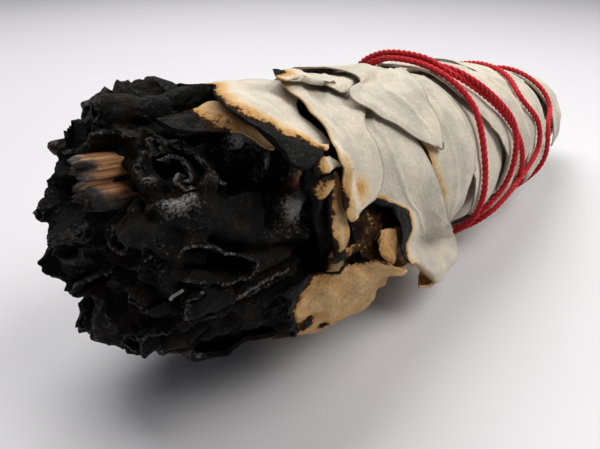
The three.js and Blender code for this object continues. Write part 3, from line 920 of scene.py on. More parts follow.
@dataclass
class Leaf:
    """One wrapped leaf, from its stalk to its tip, laid out by its spine or by its two rims.

    Attributes:
        node: The CAD node that it stands for.
        spine: Its middle line: x and angle.
        half: Its half width on the burnt side and on the tail side.
        rims: Its burnt side's and its tail side's rim, in place of a spine and widths.
        singed: True for a leaf that the fire has browned all over.
        fullest: How far towards the stalk it is widest.
        blunt: How blunt its ends are.
        torn: The share of its length past which it is torn off square.
        wave: How wavy its edges are.
        thick: Its thickness.
        flare: Shares of its length with how far the whole of it stands off there.
        levelled: The angle round the underside within which the surface presses it flat.
        curl: How far round its edges curl up, in degrees, on the burnt side and the tail side.
        prop: Shares of its length with how high its burnt side stands off there.
        edge_burn: Shares of its length with the width burnt black on its burnt side.
        tip_burn: The scorched length of its tip.
        spread: How far the toasting reaches past the black on its burnt side.
        burns: Scorched spots: x, angle and radius.
        tone: How toasted the whole of it is; on the two black inner leaves it is partly painted shade.
        front_shift: How much further towards the burnt end than the rest it stayed sound.
        fade: Over what length its black fades out there.
        crumple: How high its crumples are.
        stiff: How stiffly it bridges what it lies on.
    """

    node: str
    spine: Pairs = ()
    half: Pair = (6.0, 6.0)
    rims: tuple[Pairs, ...] = ()
    singed: bool = False
    fullest: float = 0.8
    blunt: float = 0.6
    torn: float = 0.985
    wave: float = 0.07
    thick: float = 0.42
    flare: Pairs = ()
    levelled: float = 0.0
    curl: Pair = (24.0, 12.0)
    prop: Pairs = ()
    edge_burn: Pairs = ()
    tip_burn: float = 0.0
    spread: float = 2.6
    burns: Places = ()
    tone: float = 0.0
    front_shift: float = 0.0
    fade: float = 3.6
    crumple: float = 0.16
    stiff: int = 140

    STEP = 0.5
    SAMPLES = 400
    EDGE_AWAY = 40
    CURL_LENGTH = 1.1
    RIB_HEIGHT = 0.22
    RIB_WIDTH = 0.55
    RIPPLE = 0.15

    def lay_out(self, seed: int) -> None:
        """Sets out the leaf's spots, flat on the roll.

        Args:
            seed: What makes its edges its own.
        """
        self.seed = seed
        sides = [self.unrolled(rim) for rim in self.rims]
        rough = (sides[0] + sides[1]) / 2 if sides else self.unrolled(self.spine)
        self.length = float(np.linalg.norm(np.diff(rough, axis=0), axis=1).sum())
        rows = int(self.length / self.STEP) + 2
        picked = np.linspace(0, self.SAMPLES - 1, rows).round().astype(int)
        self.line = rough[picked]
        self.along = np.gradient(self.line, axis=0)
        self.along /= np.linalg.norm(self.along, axis=1, keepdims=True)
        self.across = self.along[:, ::-1] * (1, -1)
        widest = max(self.half)
        t = np.linspace(0, 1, rows)[:, None]
        if sides:
            between = (sides[1] - sides[0])[picked] / 2
            halves = np.linalg.norm(between, axis=1, keepdims=True)
            self.across = between / np.maximum(halves, 1e-6)
            widest = float(halves.max())
        v = np.linspace(-1, 1, 2 * round(widest / self.STEP) + 1)[None, :]
        grain = Grain(seed * 7919)
        side = np.where(v < 0, -1.0, 1.0)
        edge = points_of(t * self.length, side * self.EDGE_AWAY, seed)
        ragged = 1 + self.wave * (1.3 * grain.at(edge, 3.4) + 0.5 * grain.at(edge, 1.1)) * np.abs(v)
        if not sides:
            full = np.sin(np.pi * np.clip(t, 0.015, self.torn) ** self.fullest) ** self.blunt
            halves = np.where(v < 0, self.half[0], self.half[1]) * full
        half = np.maximum(halves, 0.15) * ragged
        self.t, self.v = t + 0 * v, v + 0 * t
        self.half_here = half + 0 * v
        torn_off = (grain.at(points_of(v * 9, 0, seed), 1.6) * 0.9 - 0.5) * smoothstep(t, 0.86, 1)
        self.out = v * half
        self.shift = torn_off * (1.0 if self.torn < 0.97 else 0.35)
        self.x, self.angle = self.spot(self.out)
        self.margin = (1 - np.abs(self.v)) * half

    def unrolled(self, places: Pairs) -> Array:
        """A smooth line on the roll, x and arc, evenly spaced through places given by angle."""
        return curve_through([(x, math.radians(a) * ROUND) for x, a in places], self.SAMPLES)

    def spot(self, out: Array) -> tuple[Array, Array]:
        """Where a distance out from the middle line lies: x and angle."""
        x = self.line[:, :1] + self.across[:, :1] * out + self.along[:, :1] * self.shift
        arc = self.line[:, 1:] + self.across[:, 1:] * out + self.along[:, 1:] * self.shift
        return x, np.degrees(arc / ROUND)

    def drape(self, pile: Field, gap: float) -> None:
        """Lets the leaf down on the pile like a taut skin.

        Args:
            pile: What lies there already.
            gap: Air between the leaf and the pile.
        """
        under = pile.at(self.x, self.angle) + gap
        lift = under.copy()
        for _ in range(self.stiff):
            lift = np.maximum(under, eased(lift))
        self.lift = lift + self.relief()
        if self.levelled:
            close = np.abs(self.angle - 180)
            level = self.lift[close < self.levelled].max()
            blend = 1 - smoothstep(close, self.levelled, self.levelled + 8)
            self.lift += (level - self.lift) * blend

    def relief(self) -> Array:
        """The leaf's own rise: its rib, its ripples, its crumples and its flared tip.

        Returns:
            The rise at each spot.
        """
        grain = Grain(self.seed * 31 + 5)
        on_leaf = points_of(self.t * self.length, self.out, self.seed * 7.7)
        rib = self.RIB_HEIGHT * np.exp(-((self.out / self.RIB_WIDTH) ** 2))
        rib = rib * (1 - smoothstep(self.t, 0.8, 1))
        fold = self.RIPPLE * (1 + grain.at(on_leaf * (0.25, 1, 1), 2.6))
        crumple = self.crumple * (1 + grain.layered(on_leaf, 5.0, 3))
        rise = self.profile(self.flare) + self.profile(self.prop) * np.clip(-self.v, 0, 1) ** 2.2
        return rib + fold + crumple + rise

    def profile(self, marks: Pairs) -> Array:
        """A height along the leaf at each spot, from shares of its length with heights."""
        return read_off(marks or ((0.0, 0.0),), self.t)

    def curled(self, bare: Array) -> tuple[Array, Array, Array]:
        """Rolls the edges up where nothing lies on them.

        Args:
            bare: How free of other leaves each spot is, 0 to 1.

        Returns:
            x, angle and lift of each spot.
        """
        grain = Grain(self.seed * 53 + 1)
        edge = points_of(self.t * self.length, np.sign(self.v) * self.EDGE_AWAY, self.seed)
        free = np.where(self.v < 0, bare[:, :1], bare[:, -1:])
        turn = np.where(self.v < 0, self.curl[0], self.curl[1]) * free
        turn = np.radians(turn * np.clip(0.8 + 0.9 * grain.layered(edge, 5.0, 2), 0.1, 1.8))
        length = np.minimum(self.CURL_LENGTH * (1 + 0.3 * grain.at(edge, 4.0)), self.half_here * 0.5)
        into = np.maximum(0, length - self.margin)
        radius = length / np.maximum(turn, 1e-3)
        phase = into / radius
        drawn_in = into - radius * np.sin(phase)
        x, angle = self.spot(self.out - np.sign(self.v) * drawn_in)
        return x, angle, self.lift + radius * (1 - np.cos(phase))


class Roll:
    """The rolled bunch: its outline, and the pile of leaves laid on its packed heart."""

    GAP = 0.16
    BOUND_PULL = 0.5
    BOUND_FROM = (0, 6)
    PRESS_WINDOW = (4, 12)
    COVER_BLUR = 8
    FLAT_BITE = 0.16
    FLAT_WINDOW = 8
    THREAD_FROM = 2.5
    THREAD_TO = 6.5
    THREAD_RISE = 0.9
    SOUND = -0.4
    TIP_REACH = 2.6
    SPOT_REACH = 2.2
    CHAR_FRONT = (
        (-40, -41), (6, -40.5), (24, -40.8), (44, -39.1), (57, -37.7), (66, -37.6), (79, -38),
        (90, -39.1), (106, -44.1), (116, -49.2), (140, -47), (180, -43), (230, -41), (280, -42),
        (320, -41), (366, -40.5),
    )

    def __init__(self, outline: Outline, leaves: Sequence[Leaf], below: list["Scrap"]) -> None:
        """Lays everything on the heart, twice, as the thread presses the first pile in.

        Args:
            outline: The roll's own shape.
            leaves: The wrapped leaves, the lowest first.
            below: Sheets that lie under them all.
        """
        self.outline = outline
        self.leaves = leaves
        self.below = below
        self.groove = Field()
        for seed, leaf in enumerate(leaves):
            leaf.lay_out(seed + 1)
        self.uppermost = Field(-1.0)
        for order, leaf in enumerate(leaves):
            self.uppermost.raise_to(leaf.x, leaf.angle, np.full(leaf.x.shape, float(order)))
        pressed = self.lay(Field()).softened(*self.PRESS_WINDOW).softened(*self.PRESS_WINDOW)
        pressed.values += self.BOUND_PULL * smoothstep(Field.stations(), *self.BOUND_FROM)[:, None]
        self.pressed = pressed
        self.pile = self.lay(pressed)
        tops = self.pile.highest(3, 15).values[:, Field.ROWS // 2]
        window = np.ones(2 * self.FLAT_WINDOW + 1) / (2 * self.FLAT_WINDOW + 1)
        padded = np.pad(tops, self.FLAT_WINDOW, mode="edge")
        self.underside = np.convolve(padded, window, mode="valid") - self.FLAT_BITE

    def lay(self, pressed: Field) -> Field:
        """Lays the sheets below and then every leaf.

        Args:
            pressed: How far the heart is pressed in.

        Returns:
            The pile.
        """
        pile = Field(-pressed.values)
        for sheet in self.below:
            pile.raise_to(*sheet.covering())
        for order, leaf in enumerate(self.leaves):
            leaf.drape(pile, self.GAP)
            covered = (self.uppermost.at(leaf.x, leaf.angle) > order).astype(float)
            for _ in range(self.COVER_BLUR):
                covered = eased(covered)
            leaf.bare = 1 - covered
            pile.raise_to(leaf.x, leaf.angle, leaf.lift + leaf.thick)
        return pile

    def front(self, angle: Any) -> Array:
        """Where the fire stopped, at each angle."""
        around = (np.asarray(angle, float) + 40) % 360 - 40
        return read_off(self.CHAR_FRONT, around)

    def place(self, x: Any, angle: Any, lift: Any, floor: float = 0.0) -> Array:
        """The point at a lift over the roll's outline, pressed flat where the surface is.

        Args:
            x: Along the bunch.
            angle: Round it, 0 at the top and 90 on the near side.
            lift: Height over the outline.
            floor: The lowest height that a point may have.

        Returns:
            Points in millimetres.
        """
        x, angle, lift = np.broadcast_arrays(*[np.asarray(k, float) for k in (x, angle, lift)])
        turn = np.radians(angle)
        down = -np.cos(turn)
        height = self.outline.axis_height(x)
        outermost = self.outline.radius(x) + np.interp(x, Field.stations(), self.underside)
        outermost = outermost + self.THREAD_RISE * smoothstep(x, self.THREAD_FROM, self.THREAD_TO)
        reach = np.where(down > 0.2, height / np.maximum(down, 0.2), np.inf)
        r = self.outline.radius(x) + lift - self.groove.between(x, angle)
        r = r + np.minimum(0, reach - outermost)
        return points_of(x, -r * np.sin(turn), np.maximum(floor, height + r * np.cos(turn)))

    def scorch(self, leaf: Leaf) -> Array:
        """How scorched a leaf is, by the front, its edges, its tip and its burnt spots.

        Args:
            leaf: The leaf.

        Returns:
            The scorch at each spot: 0 sound, 1 black.
        """
        grain = Grain(leaf.seed * 97 + 3)
        spot = points_of(leaf.x, leaf.angle / 57.3 * ROUND, leaf.seed * 3.3)
        wander = 0.9 * grain.layered(spot, 3.0, 3)
        burnt = np.full(leaf.x.shape, self.SOUND + leaf.tone)
        front = self.front(leaf.angle) - leaf.front_shift
        burnt = np.maximum(burnt, self.halo(leaf.x - front - 0.8 + wander, leaf.fade))
        if leaf.edge_burn:
            width = leaf.profile(leaf.edge_burn)
            from_edge = np.where(leaf.v < 0, leaf.margin, leaf.half_here * 2)
            burnt = np.maximum(burnt, self.halo(from_edge - width + 0.6 * wander, leaf.spread))
        if leaf.tip_burn:
            from_tip = (1 - leaf.t) * leaf.length
            burnt = np.maximum(burnt, self.halo(from_tip - leaf.tip_burn + wander, self.TIP_REACH))
        for x, angle, radius in leaf.burns:
            away = np.hypot(leaf.x - x, np.radians(leaf.angle - angle) * ROUND)
            burnt = np.maximum(burnt, self.halo(away - radius + 0.6 * wander, self.SPOT_REACH))
        return burnt

    @staticmethod
    def halo(past: Array, reach: float) -> Array:
        """How scorched a spot is that lies past the black, fading over reach and then slowly."""
        black, most, bend, slower = 0.78, 1.15, 0.5, 0.4
        steep = black - past / reach
        return np.minimum(most, np.where(steep < bend, bend - slower * (bend - steep), steep))


@dataclass
class Scrap:
    """A sheet below the wrapped leaves: rows by columns of x, angle and lift over the outline."""

    x: Array
    angle: Array
    lift: Array
    thick: float

    def covering(self) -> tuple[Array, Array, Array]:
        """The spots and the lift of the sheet's outer face."""
        return self.x, self.angle, self.lift + self.thick


# ---- sub-assemblies ----


# The wrapped leaves, the lowest first; one without a node is a small leaf or scrap.
LEAVES: tuple[Leaf, ...] = (
    Leaf("leaf_far_tail", ((58, 335), (57, 270), (59, 195)), (8, 8)),
    Leaf("leaf_far_mid", ((25, 340), (27, 280), (24, 205)), (9, 9)),
    Leaf("leaf_under_burnt", ((-34, 100), (-33, 160), (-35, 220)), (5, 7), tone=0.2),
    # A black inner leaf under the slit between the charred tip leaf and the folded leaf; its black is
    # partly scorch and partly painted shade in that slit.
    Leaf("", ((-27.5, 2), (-31.5, 24), (-34, 45), (-35, 62), (-36, 88)), (5.5, 4.6), tone=1.4, crumple=0.8,
         stiff=10),
    Leaf("leaf_scorched", singed=True, tone=0.7, wave=0.03, curl=(30, 30), crumple=0.35, stiff=40,
         front_shift=6.4, fade=4, edge_burn=((0, 1.6), (0.3, 0.6), (0.5, -1), (1, -1.2)),
         rims=(((-51.3, 19.4), (-50.2, 23.6), (-46.7, 25.4), (-45.1, 30.6), (-43.9, 33.4), (-42.6, 35.8),
                (-42, 38.6), (-41.2, 40.4)),
               ((-51.1, 17.2), (-46.8, 13.2), (-41.3, 6.1), (-40.4, 15.5), (-41.3, 26.8), (-40.8, 33.8),
                (-40, 37.3), (-40, 42.6)))),
    Leaf("leaf_near_gap", ((3, 15), (7, 60), (6, 112)), (8, 8)),
    Leaf("leaf_tan_under", ((-36, 82), (-32, 108), (-26, 138)), (4.6, 5.4), singed=True, tone=0.55),
    Leaf("leaf_far_burnt", ((-32, 300), (-33, 255), (-32, 200)), (6.4, 7), tone=0.1),
    Leaf("leaf_under_mid", ((-8, 132), (-9, 185), (-8, 236)), (10.5, 10)),
    Leaf("leaf_far_cross", ((42, 325), (43, 270), (41, 212)), (8, 8)),
    Leaf("leaf_under_waist", ((19, 122), (22, 180), (20, 240)), (9.5, 9.5)),
    Leaf("leaf_under_tail", ((43, 95), (42, 150), (44, 215)), (9, 9)),
    Leaf("leaf_near_tail", ((56, -30), (57, 40), (57, 105)), (8.5, 9)),
    # A black inner leaf beside the long flap's charred notch; its black is partly scorch and partly
    # painted shade in the hollow there.
    Leaf("", ((-30, 80), (-27.5, 94), (-24, 110)), (5, 5), tone=1.4, crumple=0.35),
    Leaf("", tone=0.96, crumple=0.2, stiff=10, edge_burn=((0, 0.1), (1, 0.4)),
         burns=((-22.5, 80, 0.6), (-25, 73, -0.6)),
         rims=(((-30.8, 65.7), (-32.1, 75.6), (-33.2, 82.2), (-32.1, 88.1)),
               ((-19.6, 77.5), (-18.5, 88.2), (-15.5, 108.2), (-18.8, 113.6)))),
    Leaf("", tone=0.8, stiff=15, edge_burn=((0, -0.6), (1, -0.6)),
         rims=(((-28.9, 80), (-29.6, 83.2), (-29.5, 86.8), (-20.5, 112.4), (-16.2, 126.1)),
               ((-20, 87.3), (-15.8, 103.9), (-10.8, 126), (-12.5, 128.5), (-15.1, 129)))),
    Leaf("leaf_tan_strip", singed=True, tone=0.74, wave=0.03, crumple=0.3, stiff=60, front_shift=2.5,
         edge_burn=((0, -0.8), (1, 0.2)),
         rims=(((-34.2, 53.1), (-35.7, 57), (-37.4, 61.4), (-37.5, 66.1), (-37.9, 71.2), (-37.6, 77),
                (-37.4, 85.5)),
               ((-33.8, 53.3), (-33.9, 60.4), (-34.1, 64.6), (-34, 70.5), (-33.9, 75.4), (-34.8, 80.2),
                (-36.9, 85.1)))),
    Leaf("", tone=0.74, torn=0.9, wave=0.12, crumple=0.6, stiff=20, front_shift=3.5, fade=6, tip_burn=1,
         edge_burn=((0, -0.9), (1, 0.3)),
         burns=((-40.5, 113, 0.8), (-42.5, 116, 0.6), (-37, 119, -0.2), (-34, 112, -0.5), (-31, 119, -0.6),
                (-28, 113, -0.8), (-24, 119, -0.9), (-35, 105, -0.6), (-19, 117, -1)),
         rims=(((-29.1, 91.5), (-31.5, 88.4), (-34.1, 86.9), (-37.5, 86.4), (-39.6, 88.1), (-42.4, 90.4),
                (-46.6, 90.1)),
               ((-13, 122), (-20, 126), (-28, 128.5), (-34, 128), (-39, 124), (-43, 117)))),
    Leaf("", tone=0.95, wave=0.03, stiff=30,
         rims=(((-33.3, 79.4), (-36.6, 79.1), (-39.2, 80.8)),
               ((-32.4, 82.2), (-35.3, 82.8), (-39.1, 82.3)))),
    Leaf("leaf_far_waist", ((8, 335), (9, 280), (7, 215)), (9, 9)),
    Leaf("leaf_rest", ((-7, 128), (-5, 180), (-7, 240)), (11, 10.5), wave=0.04, thick=0.7, levelled=27,
         curl=(0, 0)),
    Leaf("", wave=0.03, stiff=8,
         rims=(((-11, 120), (-14.5, 123), (-18, 125.5)),
               ((-8, 121.5), (-12.5, 125.2), (-18, 127)))),
    Leaf("", ((-4, 12), (-4.5, 40), (-5.5, 72), (-6.5, 106)), (6.5, 6.5), blunt=0.5,
         edge_burn=((0, -1.2), (1, -0.8))),
    Leaf("leaf_long_flap", wave=0.03, curl=(10, 14),
         flare=((0.66, 0), (0.72, 0.8), (0.77, 3.6), (0.83, 5.9), (0.88, 6.3), (0.93, 4.9), (1, 3)),
         prop=((0.44, 0), (0.5, 0.7), (0.55, 0.7), (0.6, 0), (0.66, 0), (0.72, -0.6), (0.77, -3.2),
               (0.83, -5.4), (0.88, -5.6), (0.93, -4), (0.97, -1.6), (1, 0)),
         edge_burn=((0.36, -5), (0.44, 1.6), (0.48, 4.4), (0.56, 4.4), (0.62, 2), (0.68, 0.4),
                    (0.74, -0.8), (1, -1.6)),
         rims=(((-17, 10), (-25, 28), (-28, 46), (-27.9, 66.7), (-26.8, 70.6), (-24.7, 73.7),
                (-24.5, 77.9), (-24.2, 83.2), (-23.7, 89.1), (-24, 92.9), (-11.4, 125.7), (-13.4, 124.9),
                (-14.7, 123.3)),
               ((-6, 12), (-6.6, 28), (-14.4, 44.7), (-13.4, 49.6), (-12.7, 57.7), (-12.6, 67.9),
                (-11.9, 76.2), (-10.1, 86.1), (-7.9, 96.9), (3.3, 125.8), (0.8, 123.6), (-2.7, 122.1),
                (-6.1, 121.9), (-10.1, 122.8), (-14.6, 123.3)))),
    Leaf("", tone=0.4, wave=0.05, curl=(30, 60), stiff=30, front_shift=2.6, edge_burn=((0, 0), (1, -0.6)),
         rims=(((-38.6, 48.8), (-39.4, 50.6), (-39.8, 53.7)),
               ((-34.1, 47.5), (-33.6, 50.5), (-33.8, 52.8)))),
    Leaf("", tone=0.62, wave=0.05, curl=(30, 60), stiff=30, front_shift=4, edge_burn=((0, 0), (1, -0.8)),
         rims=(((-37.9, 54.5), (-39.4, 54.6), (-40.3, 55.1), (-41, 56.6)),
               ((-37.4, 56.9), (-38.2, 58.3), (-39.1, 59.8), (-40, 59.7)))),
    Leaf("leaf_charred_tip", wave=0.03, curl=(12, 8), stiff=60, front_shift=7, fade=4, spread=3.2,
         prop=((0.45, 0), (0.7, 0.5), (1, 0.8)),
         edge_burn=((0, 0.4), (0.3, 0), (0.5, -0.4), (0.8, -0.3), (0.88, 0.6), (0.94, 2.2), (1, 3.6)),
         rims=(((-34.5, -82), (-38, -62), (-38.8, -40), (-39.4, -22), (-36.7, -15.4), (-43.8, 19),
                (-44.9, 28.1), (-44.3, 33.1), (-43.5, 36), (-42.9, 40), (-42.2, 44.6), (-42.3, 48.3),
                (-41.3, 51)),
               ((-31.5, -82), (-28, -62), (-26.5, -40), (-27.5, -18), (-23.6, -9.9), (-28.1, 8.3),
                (-28.5, 14.6), (-30.3, 19.2), (-31.8, 25.8), (-31.4, 30.5), (-31.1, 34), (-30.7, 38.2),
                (-30.3, 41.5)))),
    Leaf("leaf_tail_cross", ((36, -75), (32, 0), (34, 60), (36, 118)), (8.5, 8.5)),
    Leaf("leaf_near_waist", ((13, -45), (13, 20), (20, 62), (21, 96), (18, 130)), (8.5, 9)),
    Leaf("leaf_folded", tone=0.04, wave=0.02, curl=(14, 10), stiff=60, tip_burn=-1.4,
         prop=((0.25, 0), (0.4, 0.5), (0.6, 0.6), (0.72, 0.2)),
         edge_burn=((0, -2.4), (0.4, -2), (0.75, -2.2), (0.92, -2), (1, -1.2)),
         burns=((-29.5, 62, -0.6),),
         rims=(((-18, -30), (-20, -14), (-24, 0), (-29.8, 7.7), (-31.2, 16.3), (-31.1, 23.4),
                (-31.6, 28.8), (-31.3, 32.7), (-31.1, 37.4), (-32.2, 42.7), (-34.2, 47.7), (-34.7, 50.8),
                (-34.6, 53.8), (-35.1, 56.8), (-35.5, 60.6), (-35.8, 64.1), (-35.6, 66.8), (-35.4, 69.4)),
               ((-8, -30), (-9.5, -6), (-12, 14), (-21.7, 35.7), (-22.7, 41.4), (-22.9, 47.6),
                (-23.4, 52.8), (-23.8, 57.7), (-24.6, 62.6), (-25.8, 66.2), (-27.3, 68.3), (-28.7, 69.7),
                (-31.2, 70.8), (-34.2, 71.4)))),
    Leaf("leaf_far_top", ((-12, 322), (-14, 285), (-12, 228)), (8.5, 8.5), stiff=40),
    Leaf("leaf_brown_tip", wave=0.02, curl=(16, 8), stiff=60,
         edge_burn=((0, -2), (0.5, -2), (0.66, 0.1), (0.76, -2.4), (1, -3)), burns=((-29.8, 3, 1),),
         rims=(((-14, -84), (-16, -60), (-18.5, -35), (-23, -14), (-30.3, 5.7), (-31.6, 13.5),
                (-28.4, 13.1), (-22.9, 9.8), (-21.9, 15.2), (-21.5, 19.6)),
               ((-4, -84), (-3, -50), (-3.5, -20), (-6, -4), (-13.2, 10.6), (-16.8, 14.8),
                (-20.5, 20.7)))),
    Leaf("leaf_pointed", wave=0.02, curl=(10, 8), stiff=20, edge_burn=((0, -6), (1, -6)),
         rims=(((-15, -46), (-17, -14), (-16.2, 16.2), (-20.9, 21.4), (-22.1, 26.1), (-20.6, 32.4),
                (-16.9, 41.9), (-13.8, 51.9), (-9.1, 60.4)),
               ((-1, -46), (-2, -12), (-2.7, 15.3), (-5.1, 33.5), (-6, 44.5), (-7.4, 53.3),
                (-8.6, 59.9)))),
)


@dataclass
class WrappedLeaves:
    """The whole leaves wound round the bunch, each a piece of its own."""

    leaves: tuple[Leaf, ...] = LEAVES

    def build(self, roll: Roll, material: Material) -> None:
        """Makes every leaf.

        Args:
            roll: The roll that they lie on.
            material: The leaf material.
        """
        for leaf in (leaf for leaf in roll.leaves if leaf.node):
            name = leaf.node.replace("leaf_", "") + "_leaf"
            piece = Workshop.mesh(name, self.leaf(roll, leaf), material)
            Workshop.fit(piece, Slot.SINGED if leaf.singed else Slot.LEAF, leaf.node)
        scraps = Shape.joined([self.leaf(roll, leaf) for leaf in roll.leaves if not leaf.node])
        Workshop.fit(Workshop.mesh("smaller_leaves", scraps, material), Slot.SINGED)

    def leaf(self, roll: Roll, leaf: Leaf) -> Shape:
        """Makes one leaf, its edges curled, its scorch marked and its burnt rim puffed up.

        Args:
            roll: The roll that it lies on.
            leaf: The leaf.

        Returns:
            The closed shape.
        """
        x, angle, lift = leaf.curled(leaf.bare)
        thick = leaf.thick * (0.5 + 0.5 * smoothstep(leaf.margin, 0, 1.2))
        scorch = roll.scorch(leaf)
        outer = roll.place(x, angle, lift + thick)
        inner = above_table(outer - grid_normals(outer) * thick[..., None], 0.05)
        grain = Grain(leaf.seed * 61)
        blistered = 0.32 + 0.4 * grain.layered(outer, 1.7, 2)
        outer = outer + grid_normals(outer) * (blistered * smoothstep(scorch, 0.62, 0.9))[..., None]
        marks = {
            "on_leaf": points_of(leaf.t * leaf.length, leaf.out, leaf.seed * 11.0),
            "rim": np.minimum(leaf.margin, np.minimum(leaf.t, 1 - leaf.t) * leaf.length),
            "scorch": scorch,
        }
        return shell(outer, inner, marks)


@dataclass
class PackedLeaves:
    """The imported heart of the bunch, and the leaf tips that stand out of it at the tail.

    circles holds each circle's number of tips, how short the first one is, how much longer each next
    one is, in cycles of how many, their depth, the first one's angle and their half width.
    """

    heart_tail: float = 62.0
    tail_end: float = 78.0
    thick: float = 0.5
    circles: tuple[tuple[float, ...], ...] = (
        (9, 6, 3, 3, 2.2, 0, 3.8), (4, 1, -2, 2, 4.2, 20, 2.6), (5, 4, 2, 3, 1.4, 22, 3.0),
    )

    def tips(self, outline: Outline) -> list[Scrap]:
        """Lays out the leaf tips of the tail.

        Args:
            outline: The roll's own shape.

        Returns:
            The tips, as sheets on the roll.
        """
        places = [(self.tail_end - short + step * (n % cycle), depth, first + 360.0 / count * n, half)
                  for count, short, step, cycle, depth, first, half in self.circles
                  for n in range(count)]
        made = []
        for n, (end, depth, middle, half) in enumerate(places):
            t = np.linspace(0, 1, 44)[:, None]
            v = np.linspace(1, -1, 17)[None, :]
            x = self.heart_tail - 8 + (end - self.heart_tail + 8) * t
            width = half * np.sin(np.pi * (0.35 + 0.63 * t)) ** 0.7
            wavy = 1 + 0.1 * np.sin(9 * t + n) * np.abs(v)
            angle = middle + np.degrees(v * width * wavy / (outline.radius(x) - depth))
            ripple = 0.3 * np.sin(3 * t + v * 2 + n) - 0.5 * v * v + 0.12 * np.sin(14 * v + n)
            sunk = -depth - 2.6 * (1 - np.minimum(1, 2 * t))
            made.append(Scrap(x + 0 * v, angle, sunk + ripple, self.thick))
        return made

    def build(self, roll: Roll, tips: list[Scrap], material: Material) -> None:
        """Makes the heart and its tips as one piece.

        Args:
            roll: The roll.
            tips: The leaf tips.
            material: The leaf material.
        """
        grain = Grain(Seed.HEART)
        x = np.linspace(roll.outline.char_line + 0.4, self.heart_tail, 150)[:, None]
        angle = -np.linspace(0, 360, 180, endpoint=False)[None, :]
        deep = -roll.pressed.highest(1.5, 4.5).between(x, angle) - 0.35
        spot = roll.outline.from_axis(x, 18.0 + 0 * angle, angle)
        rough = 0.5 * grain.layered(spot * (0.3, 1, 1), 3.0, 3)
        rings = roll.place(x, angle, deep - 0.5 + rough)
        marks = {
            "on_leaf": points_of(x, np.radians(angle) * ROUND, 3.0),
            "rim": 3 + 0 * rough,
            "scorch": 1.0 + 0 * rough - 1.3 * smoothstep(x, -34, -24),
        }
        shapes = [drum_shape(rings, marks)]
        for n, tip in enumerate(tips):
            outer = roll.place(tip.x, tip.angle, tip.lift + tip.thick)
            inner = outer - grid_normals(outer) * tip.thick
            rows, columns = tip.x.shape
            t = np.linspace(0, 1, rows)[:, None]
            v = np.linspace(-1, 1, columns)[None, :]
            shapes.append(shell(outer, inner, {
                "on_leaf": points_of(tip.x, v * 4, 200.0 + 11 * n),
                "rim": np.minimum((1 - np.abs(v)) * 3, (1 - t) * 24),
                "scorch": -0.3 + 0.25 * smoothstep(t, 0.8, 1.0) + 0 * v,
            }))
        piece = Workshop.mesh("packed_heart_and_tail_tips", Shape.joined(shapes), material)
        Workshop.fit(piece, Slot.LEAF, "packed_leaves")


@dataclass(frozen=True)
class Stroke:
    """A ridge, lump, crease or pit in the burnt crust.

    Attributes:
        line: x, distance from the middle line and angle of each place that it runs through.
        width: How wide it is.
        height: How high it stands; below 0 for a crease or a pit.
        ash_and_highlight: How grey it is: real ash, and on the eye's rims, lit ridges and lumps painted
            highlight.
        ember: How brown it is.
        calm: How far it smooths out the crumples round it.
    """

    line: Places
    width: float
    height: float
    ash_and_highlight: float = 0.0
    ember: float = 0.0
    calm: float = 0.0

    def share(self, spots: Array, outline: Outline) -> Array:
        """How far each spot belongs to it.

        Args:
            spots: Places on the crust.
            outline: The roll's own shape.

        Returns:
            1 on its line and 0 far off.
        """
        knots = outline.from_axis(*np.array(self.line, float).T)
        nearest = np.full(spots.shape[:-1], np.inf)
        for p, q in zip(knots, knots[1:] if len(knots) > 1 else knots):
            along = q - p
            t = np.clip(((spots - p) @ along) / max(float(along @ along), 1e-9), 0, 1)
            nearest = np.minimum(nearest, np.linalg.norm(spots - p - t[..., None] * along, axis=-1))
        return np.exp(-((nearest / self.width) ** 2))


